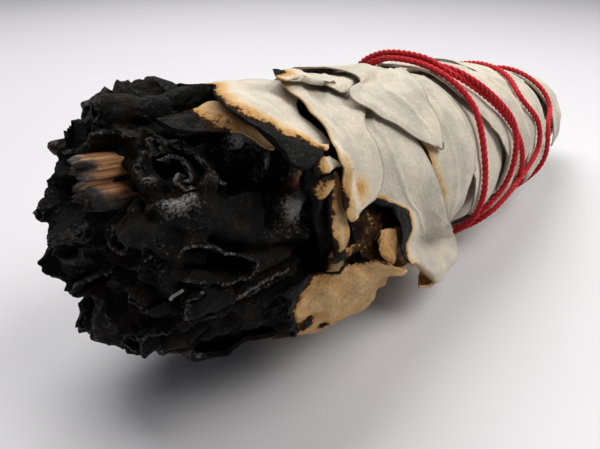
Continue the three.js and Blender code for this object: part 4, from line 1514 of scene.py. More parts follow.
# The forms of the burnt crust.
STROKES: tuple[Stroke, ...] = (
    # the two hooded rolls and the hollows round them
    Stroke(((-43.6, 16.6, 29), (-41.6, 16.8, 27.5), (-40.6, 16.9, 31)), 1.4, 3.6, ash_and_highlight=1.7),
    Stroke(((-44.2, 16.5, 37),), 0.9, -1.8),
    Stroke(((-43.7, 16.5, 42), (-45.8, 16.3, 44)), 1.4, -3),
    Stroke(((-46.5, 16.2, 32), (-46.6, 16.2, 38)), 1, -2.4),
    Stroke(((-41.9, 16.7, 42), (-40.5, 16.9, 37), (-38.6, 17.1, 35), (-37.9, 17.2, 38), (-37.9, 17.2, 43),
            (-39.2, 17.1, 48)), 0.9, 3.2, ash_and_highlight=1.5, ember=0.6),
    Stroke(((-40, 17, 43), (-40.8, 16.9, 48)), 1.2, -3.2),
    Stroke(((-41.9, 16.7, 42), (-43.6, 16.5, 45), (-45.5, 16.3, 51), (-46.8, 16.2, 57)), 0.7, 1),
    Stroke(((-48.9, 15.9, 45), (-47.9, 16, 42), (-47.1, 16.1, 41), (-46.8, 16.2, 44)), 0.5, 1.3, ash_and_highlight=0.4),
    Stroke(((-47.9, 16, 45.5),), 0.6, -1.4),
    # the broad smooth leaf, with a brown patch partly of painted sheen, and the eye below it, its rims and
    # ridges grey partly with painted highlight
    Stroke(((-50.3, 15.7, 55), (-47.4, 16.1, 62), (-45.4, 16.3, 66)), 3.4, 0.9, calm=1.1),
    # a brown patch in the middle of the broad leaf, partly brown char and partly painted sheen
    Stroke(((-48.8, 15.9, 59), (-47.6, 16, 62)), 1.5, 0.1, ember=0.8),
    # the eye's rims: their ash_and_highlight paints the highlights on the lit rims
    Stroke(((-55.5, 14.5, 69), (-54.2, 14.8, 66), (-52.7, 15.1, 65), (-51.5, 15.4, 68), (-50.3, 15.7, 73),
            (-48.8, 15.9, 75), (-47.3, 16.1, 77)), 0.55, 1.1, ash_and_highlight=0.5),
    Stroke(((-53.4, 15, 74), (-51.4, 15.5, 77), (-49, 15.9, 79)), 1.55, -4.2),
    Stroke(((-47.3, 16.1, 81), (-48.4, 16, 85), (-50.2, 15.7, 86), (-51.5, 15.4, 86), (-52.7, 15.1, 82)),
           0.55, 1.1, ash_and_highlight=0.5),
    Stroke(((-51.5, 15.6, 66), (-47.5, 16.1, 72), (-44, 16.5, 74.5), (-40.5, 16.9, 76)), 0.6, -1.5),
    Stroke(((-47.3, 16.1, 88), (-44.4, 16.5, 85), (-40.4, 16.9, 81), (-38.2, 17.2, 76)), 0.6, -1.8),
    Stroke(((-50, 15.9, 93), (-47.8, 16.1, 91), (-45.4, 16.3, 89), (-42.1, 16.7, 86)), 0.6, 1.2, ash_and_highlight=0.5,
           calm=0.6),
    Stroke(((-52.5, 15.2, 93), (-49.6, 16, 97), (-46.5, 16.3, 94), (-42.2, 16.7, 90), (-38.2, 17.2, 87)),
           0.7, -1.9),
    Stroke(((-50.4, 15.8, 97), (-48.8, 16.1, 96)), 0.5, 1, ash_and_highlight=0.7),
    Stroke(((-50.5, 15.9, 81), (-46.8, 16.3, 85), (-43, 16.7, 82)), 1.6, 0.5, calm=0.8),
    # browned folds and the granular band next to the leaves
    Stroke(((-38.4, 17.1, 46), (-40.2, 16.9, 59)), 0.9, 1, ember=0.9, calm=0.7),
    Stroke(((-38.1, 17.2, 50), (-38.4, 17.2, 58)), 0.9, 0.8, ember=1, calm=0.7),
    Stroke(((-41, 16.8, 52), (-42.6, 16.7, 63)), 0.9, 1.2, ember=0.8, calm=0.7),
    Stroke(((-42.2, 16.7, 50), (-44.2, 16.5, 64)), 0.5, -1.5),
    Stroke(((-40.8, 16.9, 60), (-38.8, 17.1, 59), (-37.9, 17.6, 62)), 1.8, 1.2, ash_and_highlight=1.5),
    Stroke(((-38.5, 17.1, 66),), 0.9, -1.8),
    Stroke(((-39.5, 17, 73),), 1.2, 1, ash_and_highlight=0.3),
    Stroke(((-37.9, 17.2, 75), (-37.9, 17.2, 85)), 0.9, -1.2),
    # folds below
    Stroke(((-52.6, 15.4, 102), (-50.2, 16, 100), (-47.2, 16.5, 109), (-45.1, 17, 123)), 0.8, 1.1),
    Stroke(((-53.8, 15.2, 109), (-50.3, 16.2, 114), (-45.6, 17.1, 132)), 0.7, -1.6),
    Stroke(((-53.9, 15.6, 132), (-51, 16.2, 124)), 1.3, 0.8, ember=0.8, calm=0.6),
    Stroke(((-57.3, 13.7, 112), (-56.4, 14.4, 106), (-55.5, 15, 115)), 0.8, 1.2, ember=0.3),
    Stroke(((-58, 12.6, 138), (-57.8, 13.1, 124)), 1.1, -3),
    Stroke(((-55.3, 14.6, 79), (-54.4, 14.7, 82), (-53.6, 14.9, 85), (-53.9, 14.8, 88), (-54.9, 14.7, 91),
            (-56, 14.4, 92)), 0.5, 1.4, ash_and_highlight=0.4),
    Stroke(((-55.4, 14.5, 85),), 0.9, -1.8),
    # the end face
    Stroke(((-57.9, 13, -140), (-58, 10.6, -146), (-58, 4.6, 174), (-58, 5.4, 102)), 0.9, 1.5, ember=0.6),
    Stroke(((-58, 12.3, -138), (-58, 6.3, -150), (-58, 2.9, 156)), 1.5, -3.6),
    Stroke(((-58, 2.9, -142),), 1.6, 2.2, ember=0.3),
    Stroke(((-58, 9.1, -108), (-58, 6.3, -92), (-58, 3.6, -68), (-58, 2.3, -2), (-58, 2.3, 33)), 0.8, 1.8,
           ash_and_highlight=0.6),
    Stroke(((-58, 6.2, -106),), 1, -2.4),
    Stroke(((-58, 5.2, 39), (-58, 9.3, 50)), 1.3, 1.2, ash_and_highlight=0.5),
    Stroke(((-58, 8, 58), (-58, 7.9, 64)), 1.2, -3.8),
    Stroke(((-57.9, 12.1, 55), (-56.8, 13.8, 56)), 1.5, 1, ember=0.7, calm=0.5),
    Stroke(((-57.8, 12.3, 42),), 0.9, 0.9),
    Stroke(((-56.6, 8.6, 28), (-56.6, 11.5, 22)), 2.2, -4.2),
    Stroke(((-58, 8, -83), (-58, 3.8, -20)), 2.4, 1.2),
    Stroke(((-58.2, 13.4, -110), (-58.2, 13.2, -119), (-58.2, 13, -130)), 0.6, 1.4, ash_and_highlight=0.4),
    Stroke(((-58, 9, 172), (-58, 11.5, 176)), 1.6, 1.2, calm=0.8, ember=0.2),
    # the top
    Stroke(((-57.4, 13.9, 2), (-56, 15.1, 2), (-54.1, 15.5, 3), (-53.5, 15.4, 11)), 1.5, 1.4),
    Stroke(((-57.6, 10.5, 2), (-55.4, 13.5, 16)), 1.1, -2.8),
    Stroke(((-52.5, 16.5, -16), (-52.1, 16.2, -3), (-48.8, 16.7, 0)), 1.2, 1.6),
    Stroke(((-50.7, 17.2, -25), (-49.8, 17.4, -23), (-48.8, 17.5, -23)), 1.7, 2),
    Stroke(((-49.5, 17, -13), (-46, 17.4, -12), (-43, 17.6, -10)), 0.7, -2),
    Stroke(((-48.4, 17.5, -23), (-46.9, 17.7, -23), (-45.7, 17.9, -23)), 1.5, 1.8),
    Stroke(((-49.3, 16.3, 14), (-47.5, 16.3, 18), (-44.9, 16.6, 19)), 0.8, -2.4),
    Stroke(((-51.4, 15.8, 12), (-50.3, 16, 18), (-48.9, 16, 22), (-48.2, 16, 28), (-48.1, 16, 34),
            (-48.7, 16, 40), (-49.7, 15.8, 43)), 0.7, 1.4, ash_and_highlight=0.6),
    Stroke(((-51.1, 15.5, 26), (-52, 15.4, 29)), 1, -3),
    Stroke(((-50.6, 15.6, 38),), 1, -3),
    Stroke(((-55.6, 14.5, 28), (-54.3, 14.7, 26), (-53.2, 15, 24)), 0.8, 1.4, ash_and_highlight=0.6),
    Stroke(((-55.3, 14.6, 36), (-54.4, 14.7, 36)), 0.7, 1.3, ash_and_highlight=0.7),
    Stroke(((-55, 14.6, 50), (-53.7, 14.9, 50), (-52.2, 15.2, 48)), 0.9, 2.4, ash_and_highlight=1.5),
    Stroke(((-56.8, 13.8, 48), (-54.9, 14.6, 46), (-53.7, 14.9, 46)), 0.45, 1, ash_and_highlight=0.3),
)


@dataclass
class Crust:
    """The burnt crust that the rolls and scraps stand in: its side and its end face."""

    start: float = -35.5
    shoulder: float = -54.5
    rounding: float = 3.5
    face_shifts: Pairs = (
        (-180, -2.2), (-150, -2.6), (-120, -2.2), (-90, -1.2), (-74, 1.4), (-58, 4.2), (-20, 4.4),
        (5, 2.8), (30, 1.2), (60, 0.2), (120, 0), (150, -1.2), (180, -2.2),
    )
    side_lifts: Pairs = (
        (-180, -1.4), (-140, -0.8), (-90, -0.8), (-60, -1.0), (-25, -1.0), (0, -2.0), (25, -2.8),
        (90, -2.8), (110, -3.0), (125, -3.8), (150, -3.4), (165, -2.2), (180, -1.4),
    )
    strokes: tuple[Stroke, ...] = STROKES

    SIDE_ROWS = 106
    TURN_ROWS = 26
    FACE_ROWS = 62
    SIDES = 340

    def base_lift(self, x: Array, angle: Array) -> Array:
        """The height of the smooth crust over the roll's outline, tucked in under the leaves."""
        around = (angle + 180) % 360 - 180
        lift = read_off(self.side_lifts, around)
        return -3.2 + (lift + 3.2) * smoothstep(-x, 36, 40.5)

    def relief(self, spots: Array, facing: Array,
               outline: Outline) -> tuple[Array, Array, Array]:
        """The crust's own crumples and strokes.

        Args:
            spots: Places on the smooth crust.
            facing: 0 on its side and 1 on its end face.
            outline: The roll's own shape.

        Returns:
            How far each spot stands out, how grey it is with ash and painted highlight, and how brown.
        """
        grain = Grain(Seed.CRUST)
        warped = spots + 1.3 * grain.vectors(spots, 6.0, 2)
        folds = (0.65 + 0.5 * facing) * grain.ridged(warped * (0.7, 1, 1), 5.0, 3)
        folds = folds + 0.5 * grain.ridged(warped + 30, 2.3, 2)
        sculpted, ash_and_highlight, ember, calm = (np.zeros(spots.shape[:-1]) for _ in range(4))
        for stroke in self.strokes:
            share = stroke.share(spots, outline)
            sculpted += stroke.height * share
            ash_and_highlight += stroke.ash_and_highlight * share
            ember += stroke.ember * share
            calm += stroke.calm * share
        grit = 0.17 * grain.layered(spots, 0.9, 3)
        return folds * (1 - np.clip(calm, 0, 0.9)) + grit + sculpted, ash_and_highlight, ember

    def sheet(self, outline: Outline) -> Scrap:
        """Lays out the crust's side, for the leaves to lie on.

        Args:
            outline: The roll's own shape.

        Returns:
            The side, as a sheet.
        """
        x = np.arange(self.shoulder, self.start, 0.4)[:, None]
        angle = np.arange(0, 360, 1.2)[None, :]
        x, angle = np.broadcast_arrays(x, angle)
        lift = self.base_lift(x, angle)
        spots = outline.from_axis(x, outline.radius(x) + lift, angle)
        return Scrap(x, angle, lift + self.relief(spots, 0 * x, outline)[0], 0.0)

    def shape(self, roll: Roll) -> Shape:
        """Makes the crust as one closed skin: its side, its rounded shoulder and its end face.

        Args:
            roll: The roll.

        Returns:
            The closed shape.
        """
        side = np.linspace(self.start, self.shoulder, self.SIDE_ROWS)
        turn = np.radians(np.linspace(4, 90, self.TURN_ROWS))
        face = np.full(self.FACE_ROWS, self.rounding)
        x = np.concatenate([side, self.shoulder - self.rounding * np.sin(turn),
                            self.shoulder - face])[:, None]
        inset = np.concatenate([0 * side, self.rounding * (1 - np.cos(turn)), face])[:, None]
        closing = np.concatenate([np.ones(side.size + turn.size),
                                  np.linspace(0.985, 0.02, face.size)])[:, None, None]
        angle = np.linspace(0, 360, self.SIDES, endpoint=False)[None, :]
        x, angle = np.broadcast_arrays(x, angle)
        edge = np.maximum(x, self.shoulder)
        flat = roll.place(edge, angle, self.base_lift(edge, angle) - inset)
        middle = roll.outline.from_axis(x, 0.0, angle)
        rings = middle + (flat - roll.outline.from_axis(edge, 0.0, angle)) * closing
        facing = smoothstep(-x, -self.shoulder, -self.shoulder + self.rounding)
        out, ash_and_highlight, ember = self.relief(rings, facing, roll.outline)
        away = rings - roll.outline.from_axis(x, 0.0, angle)
        rings = rings + grid_normals(rings) * out[..., None]
        around = (angle + 180) % 360 - 180
        shift = read_off(self.face_shifts, around)
        rings[..., 0] += shift * facing * smoothstep(np.linalg.norm(away, axis=-1), 2, 9)
        rings = above_table(rings)
        grain = Grain(Seed.CRUST_ASH)
        ember = ember - 0.5 + 0.5 * grain.layered(rings, 5.0, 2)
        ash_and_highlight = ash_and_highlight - 0.1 + 0.5 * grain.layered(rings + 40, 3.0, 2)
        return drum_shape(rings, {"ash_and_highlight": ash_and_highlight, "ember": ember})


@dataclass(frozen=True)
class Curl:
    """A strip of burnt leaf that stands edge-on in the crust.

    Attributes:
        line: x, distance from the middle line and angle of each place along its rim.
        depth: How deep it runs into the crust.
        inward: How much of that is towards the middle line and not along the bunch.
        ash_and_highlight: How grey its rim is: ash, and on the short glint strip painted highlight.
        thick: How thick it is.
    """

    line: Places
    depth: float = 2.4
    inward: float = 0.6
    ash_and_highlight: float = 0.6
    thick: float = 0.4

    def shape(self, outline: Outline, n: int) -> Shape:
        """Makes the strip.

        Args:
            outline: The roll's own shape.
            n: Its number, which makes it its own.

        Returns:
            The closed shape.
        """
        grain = Grain(Seed.CURL + n)
        knots = outline.from_axis(*np.array(self.line, float).T)
        rough = float(np.linalg.norm(np.diff(knots, axis=0), axis=1).sum())
        rim = curve_through(knots, max(10, int(rough / 0.28)))
        centre = outline.from_axis(rim[:, 0], 0.0, 0.0)
        toward = centre - rim
        toward /= np.linalg.norm(toward, axis=1, keepdims=True)
        back = np.array((math.sqrt(1 - self.inward**2), 0, 0)) + self.inward * toward
        s = np.linspace(0, 1, max(6, int(self.depth / 0.35)))[None, :, None]
        ragged = 0.45 * grain.layered(rim, 1.3, 3)[:, None, None] * (1 - s)
        middle = rim[:, None, :] + back[:, None, :] * (s * self.depth + ragged)
        middle = middle + 0.28 * grain.vectors(middle, 1.5, 2)
        half = grid_normals(middle) * self.thick / 2
        ash_and_highlight = self.ash_and_highlight * (1 - smoothstep(s[..., 0], 0, 0.35)) + 0 * middle[..., 0]
        return shell(middle + half, middle - half, {"ash_and_highlight": ash_and_highlight, "ember": -0.6 + 0 * ash_and_highlight})


# The strips of burnt leaf on the crust.
CURLS: tuple[Curl, ...] = (
    Curl(((-51.8, 16.8, 17), (-51.1, 16.8, 22), (-49.8, 17, 26), (-49.2, 17.1, 31), (-49, 17.1, 36),
          (-49.4, 17.1, 42), (-50.3, 16.9, 45)), 3, 0.55),
    Curl(((-52.9, 16.2, 30), (-51.6, 16.4, 28), (-50.6, 16.6, 32), (-50.7, 16.5, 38), (-51.8, 16.3, 41)),
         2.6, 0.6, 0.8),
    Curl(((-52.9, 16.4, 22), (-52.2, 16.6, 19), (-51.6, 16.7, 21), (-51.8, 16.6, 24), (-52.6, 16.3, 26),
          (-53.1, 16.2, 25), (-52.9, 16.4, 22.3)), 2.2, 0.6),
    Curl(((-51.6, 16.6, 44), (-52.5, 16.4, 44), (-52.7, 16.3, 40), (-51.9, 16.5, 37)), 2.2, 0.6, 0.9),
    Curl(((-55.7, 15.1, 68), (-54.5, 15.4, 66), (-53, 15.7, 65), (-51.8, 16, 68), (-50.7, 16.2, 72),
          (-49.1, 16.5, 74), (-47.6, 16.7, 76), (-46.9, 16.8, 78.5), (-47.6, 16.7, 81), (-48.8, 16.6, 84),
          (-50.6, 16.2, 85.5), (-51.9, 15.9, 85)), 1.8, 0.85, 0.7, 0.3),
    Curl(((-43, 17.4, 45), (-42.2, 18.6, 41), (-40.9, 19.2, 37.5), (-39.4, 19.3, 37), (-38.6, 19.1, 40),
          (-38.8, 18.6, 44), (-40.1, 18, 49)), 3.4, 0.25, 0.5, 0.9),
    Curl(((-45.6, 17.2, 35), (-44.5, 18, 34), (-43.2, 18.6, 33), (-42.4, 18.6, 37), (-42.8, 18, 41)),
         2.2, 0.7, 0.5, 0.6),
    Curl(((-49.6, 17, 46), (-48.8, 17.1, 43), (-47.9, 17.2, 43), (-47.5, 17.3, 45.5)), 1.5, 0.9, 0.7),
    Curl(((-55.9, 15.7, 78), (-55, 15.8, 80), (-54.2, 16, 83), (-54.5, 15.9, 86), (-55.6, 15.8, 88),
          (-56.6, 15.5, 89)), 2, 0.6),
    # a short strip whose rim is painted near-white: a painted glint
    Curl(((-57.9, 15.1, 86.5), (-57.3, 15.4, 85), (-56.6, 15.6, 83.5)), 0.7, 0.3, 4, 0.35),
    Curl(((-58.9, 12.4, 140), (-59.3, 12.4, 126), (-58.9, 13.4, 113), (-58.1, 14.2, 110)), 2.4, 0.4),
    Curl(((-52.6, 17.3, -6), (-52.3, 17.2, 0), (-51.5, 17.3, 3), (-49.8, 17.7, 4), (-48.2, 17.9, 2)), 3,
         0.3, 0.6),
    Curl(((-60.4, 11.9, -136), (-60.6, 12.7, -142), (-60.4, 8.3, -147), (-60, 3.4, 176),
          (-59.4, 4.3, 100)), 3, 0.2, 0.5),
    Curl(((-60.3, 12.6, -106), (-60.5, 13.2, -118), (-60.6, 13.1, -131)), 2.6, 0.2, 0.6),
    Curl(((-50.7, 16.8, 90), (-48.7, 17.2, 88), (-46.4, 17.4, 86), (-43.1, 17.7, 84)), 1.4, 0.7, 0.8),
    Curl(((-59.7, 7.4, -106), (-59.6, 5.1, -99), (-59.6, 3.2, -62), (-59.4, 3, 1)), 2, 0.2, 0.7),
    Curl(((-58.6, 12.6, -8), (-57.9, 14, 6), (-56.8, 15.8, 9), (-55.1, 16.3, 11), (-54.2, 16.2, 16)), 3.6,
         0.3, 0.5),
)


@dataclass
class CharredEnd:
    """The burnt end: its crust, scraps of the outer leaves, curls and rolls burnt hollow.

    plates holds each scrap's x where it is sound and where it burnt off, its middle and half angle
    and its height; rolls, each one's mouth x, distance from the middle, angle, radius and length.
    drawn_in to sway shape a roll. The small ones keep clear of the stems, past near_stems.
    """

    crust: Crust = field(default_factory=Crust)
    plate_thick: float = 0.7
    half_slit: float = 0.35
    plates: tuple[Five, ...] = (
        (-39.6, -53, 160, 19, -3.4), (-39.8, -55, 200, 18, -1.8), (-39.6, -52, 240, 20, -1.4),
        (-39.6, -54, 281, 19, -1.4), (-39.8, -51.5, 320, 18, -1.4),
    )
    rolls: tuple[Five, ...] = (
        (-61, 13.6, -160, 2.8, 9), (-58.6, 12.8, 158, 2.5, 8), (-57.4, 13.6, 131, 1.8, 7),
        (-60, 13.2, -92, 1.3, 8), (-51.8, 15.2, -58, 2.4, 7), (-51.8, 15.0, -34, 2.4, 7),
        (-51.8, 16.3, -22, 2.2, 5.5), (-48.8, 17.1, -21, 2.3, 5), (-46.0, 17.3, -27, 2.5, 5),
        (-46.4, 18.1, -5, 1.5, 8), (-54.4, 17.2, -4, 1.6, 8), (-54.0, 15.0, -8, 1.3, 6),
        (-59.6, 8.6, -126, 2.2, 7), (-59.4, 10.2, 100, 1.7, 6), (-56.4, 14.6, 96, 1.5, 6),
        (-60.2, 9.2, 168, 2.2, 8),
    )
    curls: tuple[Curl, ...] = CURLS
    small_rolls: int = 13
    small_spread: float = 13.0
    small_mouth: float = -58.2
    near_stems: float = 5
    drawn_in: float = 0.42
    spiral: float = 0.34
    lobes: float = 0.20
    sway: float = 0.16
    GOLDEN_ANGLE = 137.5

    def plate_sheets(self) -> list[Scrap]:
        """Lays out the scraps of the outer leaves.

        Returns:
            The scraps, as sheets on the roll.
        """
        made = []
        for n, (sound, burnt, middle, half, base) in enumerate(self.plates):
            grain = Grain(Seed.PLATE + n)
            t = np.linspace(0, 1, 46)[:, None]
            v = np.linspace(-1, 1, 52)[None, :]
            spot = points_of(sound + (burnt - sound) * t, v * half * 0.35, n * 9.0)
            ragged = t * (1.8 * grain.layered(points_of(v * half * 0.35, 0, n), 2.8, 3))
            curl = 0.9 * t**3 + 0.7 * np.abs(v) ** 3
            crumple = 0.9 * grain.ridged(spot, 5.5, 2) * smoothstep(t, 0.02, 0.3)
            x = sound + (burnt - sound) * t - ragged
            made.append(Scrap(x, middle + v * half + 0 * t, base + curl + crumple, self.plate_thick))
        return made

    def rolled(self, outline: Outline, n: int, mouth: float, away: float, angle: float,
               radius: float, length: float) -> Shape:
        """One leaf roll that burnt hollow, its slit away from the middle.

        Args:
            outline: The roll's own shape.
            n: Its number, which makes it its own.
            mouth: x of its mouth.
            away: Distance from the middle line.
            angle: Angle round the bunch.
            radius: Its own radius.
            length: How long it is.

        Returns:
            The closed shape.
        """
        grain = Grain(Seed.ROLL + n)
        slit = math.radians(angle + 90) + 0.5 * math.sin(n * 2.3)
        columns = max(36, int(radius * 20))
        turn = np.linspace(slit + self.half_slit, slit + 2 * math.pi + 0.5, columns)[None, :]
        t = np.linspace(0, 1, max(20, int(length * 3.2)))[:, None]
        rounded = 1 - self.drawn_in * (1 - smoothstep(t, 0, 1.6 * radius / length)) ** 2
        spiral = 1 - self.spiral * (turn - slit) / (2 * math.pi)
        lobes = 1 + self.lobes * grain.at(points_of(np.cos(turn), np.sin(turn), t * 1.5), 0.9)
        r = radius * 1.14 * spiral * rounded * lobes
        edge = 0.7 * grain.layered(points_of(turn * radius, 4, n), 2.6, 2) * (1 - t)
        flat = points_of(length * t + edge, r * np.cos(turn), r * np.sin(turn))
        sway = (Matrix.Rotation(self.sway * math.sin(n * 1.7), 3, "Z")
                @ Matrix.Rotation(self.sway * math.cos(n * 1.3), 3, "Y"))
        flat = flat @ np.array(sway).T
        spot = flat + outline.from_axis(mouth, away, angle)
        outer = spot + min(0.8, 0.25 + radius * 0.14) * grain.vectors(spot, max(3.0, radius), 2)
        outer = outer + 0.3 * grain.vectors(spot, 1.5, 3)
        wall = min(0.55, radius * 0.26)
        inner = outer - grid_normals(outer) * wall
        ash_and_highlight = 0.6 * (1 - smoothstep(t, 0, 0.14)) + 0 * turn
        ember = -0.6 + 0.4 * grain.at(points_of(turn, t * 3, n), 1.2)
        return shell(above_table(outer), above_table(inner), {"ash_and_highlight": ash_and_highlight, "ember": ember})

    def build(self, roll: Roll, plates: list[Scrap], material: Material) -> None:
        """Makes the whole burnt end as one piece, and its crust as another.

        Args:
            roll: The roll.
            plates: The scraps of the outer leaves.
            material: The charred material.
        """
        Workshop.fit(Workshop.mesh("burnt_crust", self.crust.shape(roll), material), Slot.CHARRED)
        shapes = []
        for n, plate in enumerate(plates):
            grain = Grain(Seed.PLATE_FACE + n)
            outer = roll.place(plate.x, plate.angle, plate.lift + plate.thick)
            outer = above_table(outer + 0.12 * grain.vectors(outer, 0.9, 2))
            inner = outer + grid_normals(outer) * plate.thick
            rows, columns = plate.x.shape
            t = np.linspace(0, 1, rows)[:, None] + np.zeros((1, columns))
            ember = 0.3 - 2.0 * t + 0.5 * grain.at(outer, 3.0)
            shapes.append(shell(outer[:, ::-1], inner[:, ::-1], {
                "ash_and_highlight": smoothstep(t, 0.85, 1)[:, ::-1], "ember": ember[:, ::-1]}))
        shapes += [curl.shape(roll.outline, n) for n, curl in enumerate(self.curls)]
        specs = list(self.rolls) + self.scattered()
        shapes += [self.rolled(roll.outline, n, *spec) for n, spec in enumerate(specs)]
        piece = Workshop.mesh("charred_leaf_rolls", Shape.joined(shapes), material)
        Workshop.fit(piece, Slot.CHARRED, "charred_leaves")

    def scattered(self) -> list[Five]:
        """Spreads small leaf rolls over the end face, with a seed and clear of the stems.

        Returns:
            What each one is made with.
        """
        rng = np.random.default_rng(41)
        made = []
        for k in range(self.small_rolls):
            away = self.small_spread * math.sqrt((k + 0.6) / self.small_rolls)
            angle = (self.GOLDEN_ANGLE * k) % 360
            mouth = self.small_mouth + rng.uniform(-0.6, 1.0)
            if not (away > self.near_stems and (angle < 45 or angle > 275)):
                made.append((mouth, away, angle, rng.uniform(1.2, 2.0), rng.uniform(5, 8)))
        return made


@dataclass
class Stems:
    """Square sage stems that run through the bunch and stand bare at the burnt end.

    stems holds each one's tip x, its distance from the middle and angle there, and both at the tail.
    """

    side: float = 2.5
    tail_x: float = 66.0
    burnt_off: float = 1.0
    groove: float = 0.10
    fray: float = 0.9
    charred: float = 3.2
    stems: tuple[Five, ...] = (
        (-60.4, 12.1, 13, 4.4, 0), (-60.6, 9.6, 26, 4.4, 72), (-59.8, 7.4, -5, 0, 0),
        (-56, 9, -118, 4.4, -72), (-57, 8.6, 132, 4.4, 144), (-55, 13.2, -160, 4.4, -144),
    )
    BLACKEST = 1

    def build(self, outline: Outline, material: Material) -> None:
        """Makes every stem of the roll in the stem material."""
        for n in range(len(self.stems)):
            self.stem(outline, n, material)

    def stem(self, outline: Outline, n: int, material: Material) -> None:
        """Makes one stem, its corners rounded, its fibres grooved and its tip ragged.

        Args:
            outline: The roll's own shape.
            n: Its number.
            material: The stem material.
        """
        tip, away, angle, tail_away, tail_angle = self.stems[n]
        grain = Grain(Seed.STEM + n)
        start = outline.from_axis(tip, away, angle)
        end = outline.from_axis(self.tail_x, tail_away, tail_angle)
        length = float(np.linalg.norm(end - start))
        along = (end - start) / length
        aside = np.cross(along, (0, 0, 1))
        aside /= np.linalg.norm(aside)
        rise = np.cross(aside, along)
        steps = np.concatenate([np.linspace(self.burnt_off, 26, 90), np.linspace(27, length, 40)])[:, None]
        turn = np.radians(np.linspace(0, 360, 48, endpoint=False))[None, :]
        square = (np.abs(np.cos(turn)) ** 5 + np.abs(np.sin(turn)) ** 5) ** (-1 / 5)
        spot = points_of(steps * 0.14, np.cos(turn) * 2, np.sin(turn) * 2)
        fibres = self.groove * grain.layered(spot, 0.5, 3) + 0.05 * np.sin(2 * turn) ** 2
        r = self.side / 2 * square * (0.96 + fibres)
        r = r * (1 - 0.25 * (1 - smoothstep(steps - self.burnt_off, 0, 0.8)))
        corner = points_of(np.cos(turn) * 1.2, np.sin(turn) * 1.2, n)
        frayed = self.fray * grain.layered(corner, 0.6, 3)
        s = steps + frayed * (1 - smoothstep(steps - self.burnt_off, 0, 3))
        rings = (start + s[..., None] * along + (r * np.cos(turn))[..., None] * aside
                 + (r * np.sin(turn))[..., None] * rise)
        upward = 0.4 + 0.5 * np.sin(turn) if n == self.BLACKEST else 0.12 * np.sin(turn)
        scorch = 0.8 - smoothstep(s - self.burnt_off, -1, self.charred) * 0.8 + upward
        marks = {
            "on_leaf": points_of(s, turn * 1.25, n * 5.0),
            "scorch": scorch,
        }
        piece = Workshop.mesh(f"sage_stem_{n + 1}", drum_shape(rings[:, ::-1], marks), material)
        Workshop.fit(piece, Slot.STEM, f"stem_{n + 1}")


@dataclass
class Thread:
    """One length of red cotton, wound out to the tail and back over itself.

    groove is how deep it presses into the leaves and how far to each side; behind is how many degrees
    back a turn counts as an earlier one, and overlap how high it lies over that one, in radii. route
    holds x and the angle of each place that it runs through.
    """

    radius: float = 0.6
    ply_share: float = 0.56
    plies: int = 3
    pitch: float = 3.4
    ply_step: float = 0.36
    step: float = 2.0
    groove: Pair = (0.45, 1.7)
    behind: float = 50.0
    overlap: float = 1.7
    route: Pairs = (
        (6.6, -60), (5.2, 0), (6, 42), (4.8, 75), (5.2, 100), (8.2, 180), (7.6, 250), (6.8, 378),
        (9.8, 389), (12.9, 400), (17.3, 417), (22, 436), (24.4, 452), (34, 540), (44, 640),
        (49.6, 745), (48.4, 777), (42, 795), (38, 930), (34.6, 1096), (30.2, 1126), (34.6, 1146),
        (34.4, 1165), (29.5, 1176), (21, 1187), (15, 1206), (11.4, 1300), (7.6, 1440), (8.6, 1460),
        (13, 1480), (17.2, 1502), (17.4, 1526), (16, 1540), (12.8, 1554), (10, 1600), (9, 1690),
    )

    def course(self) -> tuple[Array, Array]:
        """Follows the route in even steps.

        Returns:
            x and angle along the thread.
        """
        dense = curve_through([(x, math.radians(a) * ROUND) for x, a in self.route], 6000)
        angles = np.degrees(dense[:, 1]) / ROUND
        start, end = self.route[0][1], self.route[-1][1]
        marks = np.arange(start, end, self.step)
        rising = np.maximum.accumulate(angles)
        return np.interp(marks, rising, dense[:, 0]), marks

    def press(self, roll: Roll) -> None:
        """Presses a groove into the leaves under the thread.

        Args:
            roll: The roll.
        """
        x, angle = self.course()
        depth, reach = self.groove
        for across in np.arange(-3.5, 3.6, 0.5):
            sunk = depth * math.exp(-((across / reach) ** 2))
            roll.groove.raise_to(x + across, angle, np.full(x.shape, sunk))
        roll.groove = roll.groove.softened(0.5, 3)

    def path(self, roll: Roll) -> Array:
        """Draws the thread taut over the leaves and over its own earlier turns.

        Args:
            roll: The roll.

        Returns:
            Its middle line.
        """
        x, angle = self.course()
        top = roll.pile.highest(0.5, 3)
        lift = top.between(x, angle)
        laid = Field(-99.0)
        behind = round(self.behind / self.step)
        for n in range(len(x)):
            if n >= behind:
                k = n - behind
                laid.raise_to(x[k:k + 1], angle[k:k + 1], lift[k:k + 1] + self.overlap * self.radius)
            lift[n] = max(lift[n], float(laid.at(x[n], angle[n])))
        under = lift.copy()
        for _ in range(60):
            padded = np.pad(lift, 1, mode="edge")
            lift = np.maximum(under, (padded[:-2] + padded[2:]) / 2)
        for _ in range(3):
            padded = np.pad(lift, 1, mode="edge")
            lift = (padded[:-2] + 2 * lift + padded[2:]) / 4
        return roll.place(x, angle, lift + self.radius, self.radius)

    def build(self, roll: Roll, material: Material) -> None:
        """Makes the thread by twisting its plies along its middle line.

        Args:
            roll: The roll that it is wound on.
            material: The thread material.
        """
        points = self.path(roll)
        data = bpy.data.meshes.new("thread_line")
        data.from_pydata((points * MM).tolist(), [(k, k + 1) for k in range(len(points) - 1)], [])
        line = bpy.data.objects.new("thread_line", data)
        bpy.context.scene.collection.objects.link(line)
        ply = self.radius * self.ply_share
        piece = Recipe.twisted_thread(self.plies).run(line, "red_cotton_thread", material, {
            "Ply radius": ply * MM, "Ply offset": (self.radius - ply) * MM,
            "Pitch": self.pitch * MM, "Step": self.ply_step * MM,
        })
        Workshop.fit(piece, Slot.THREAD, "red_thread")


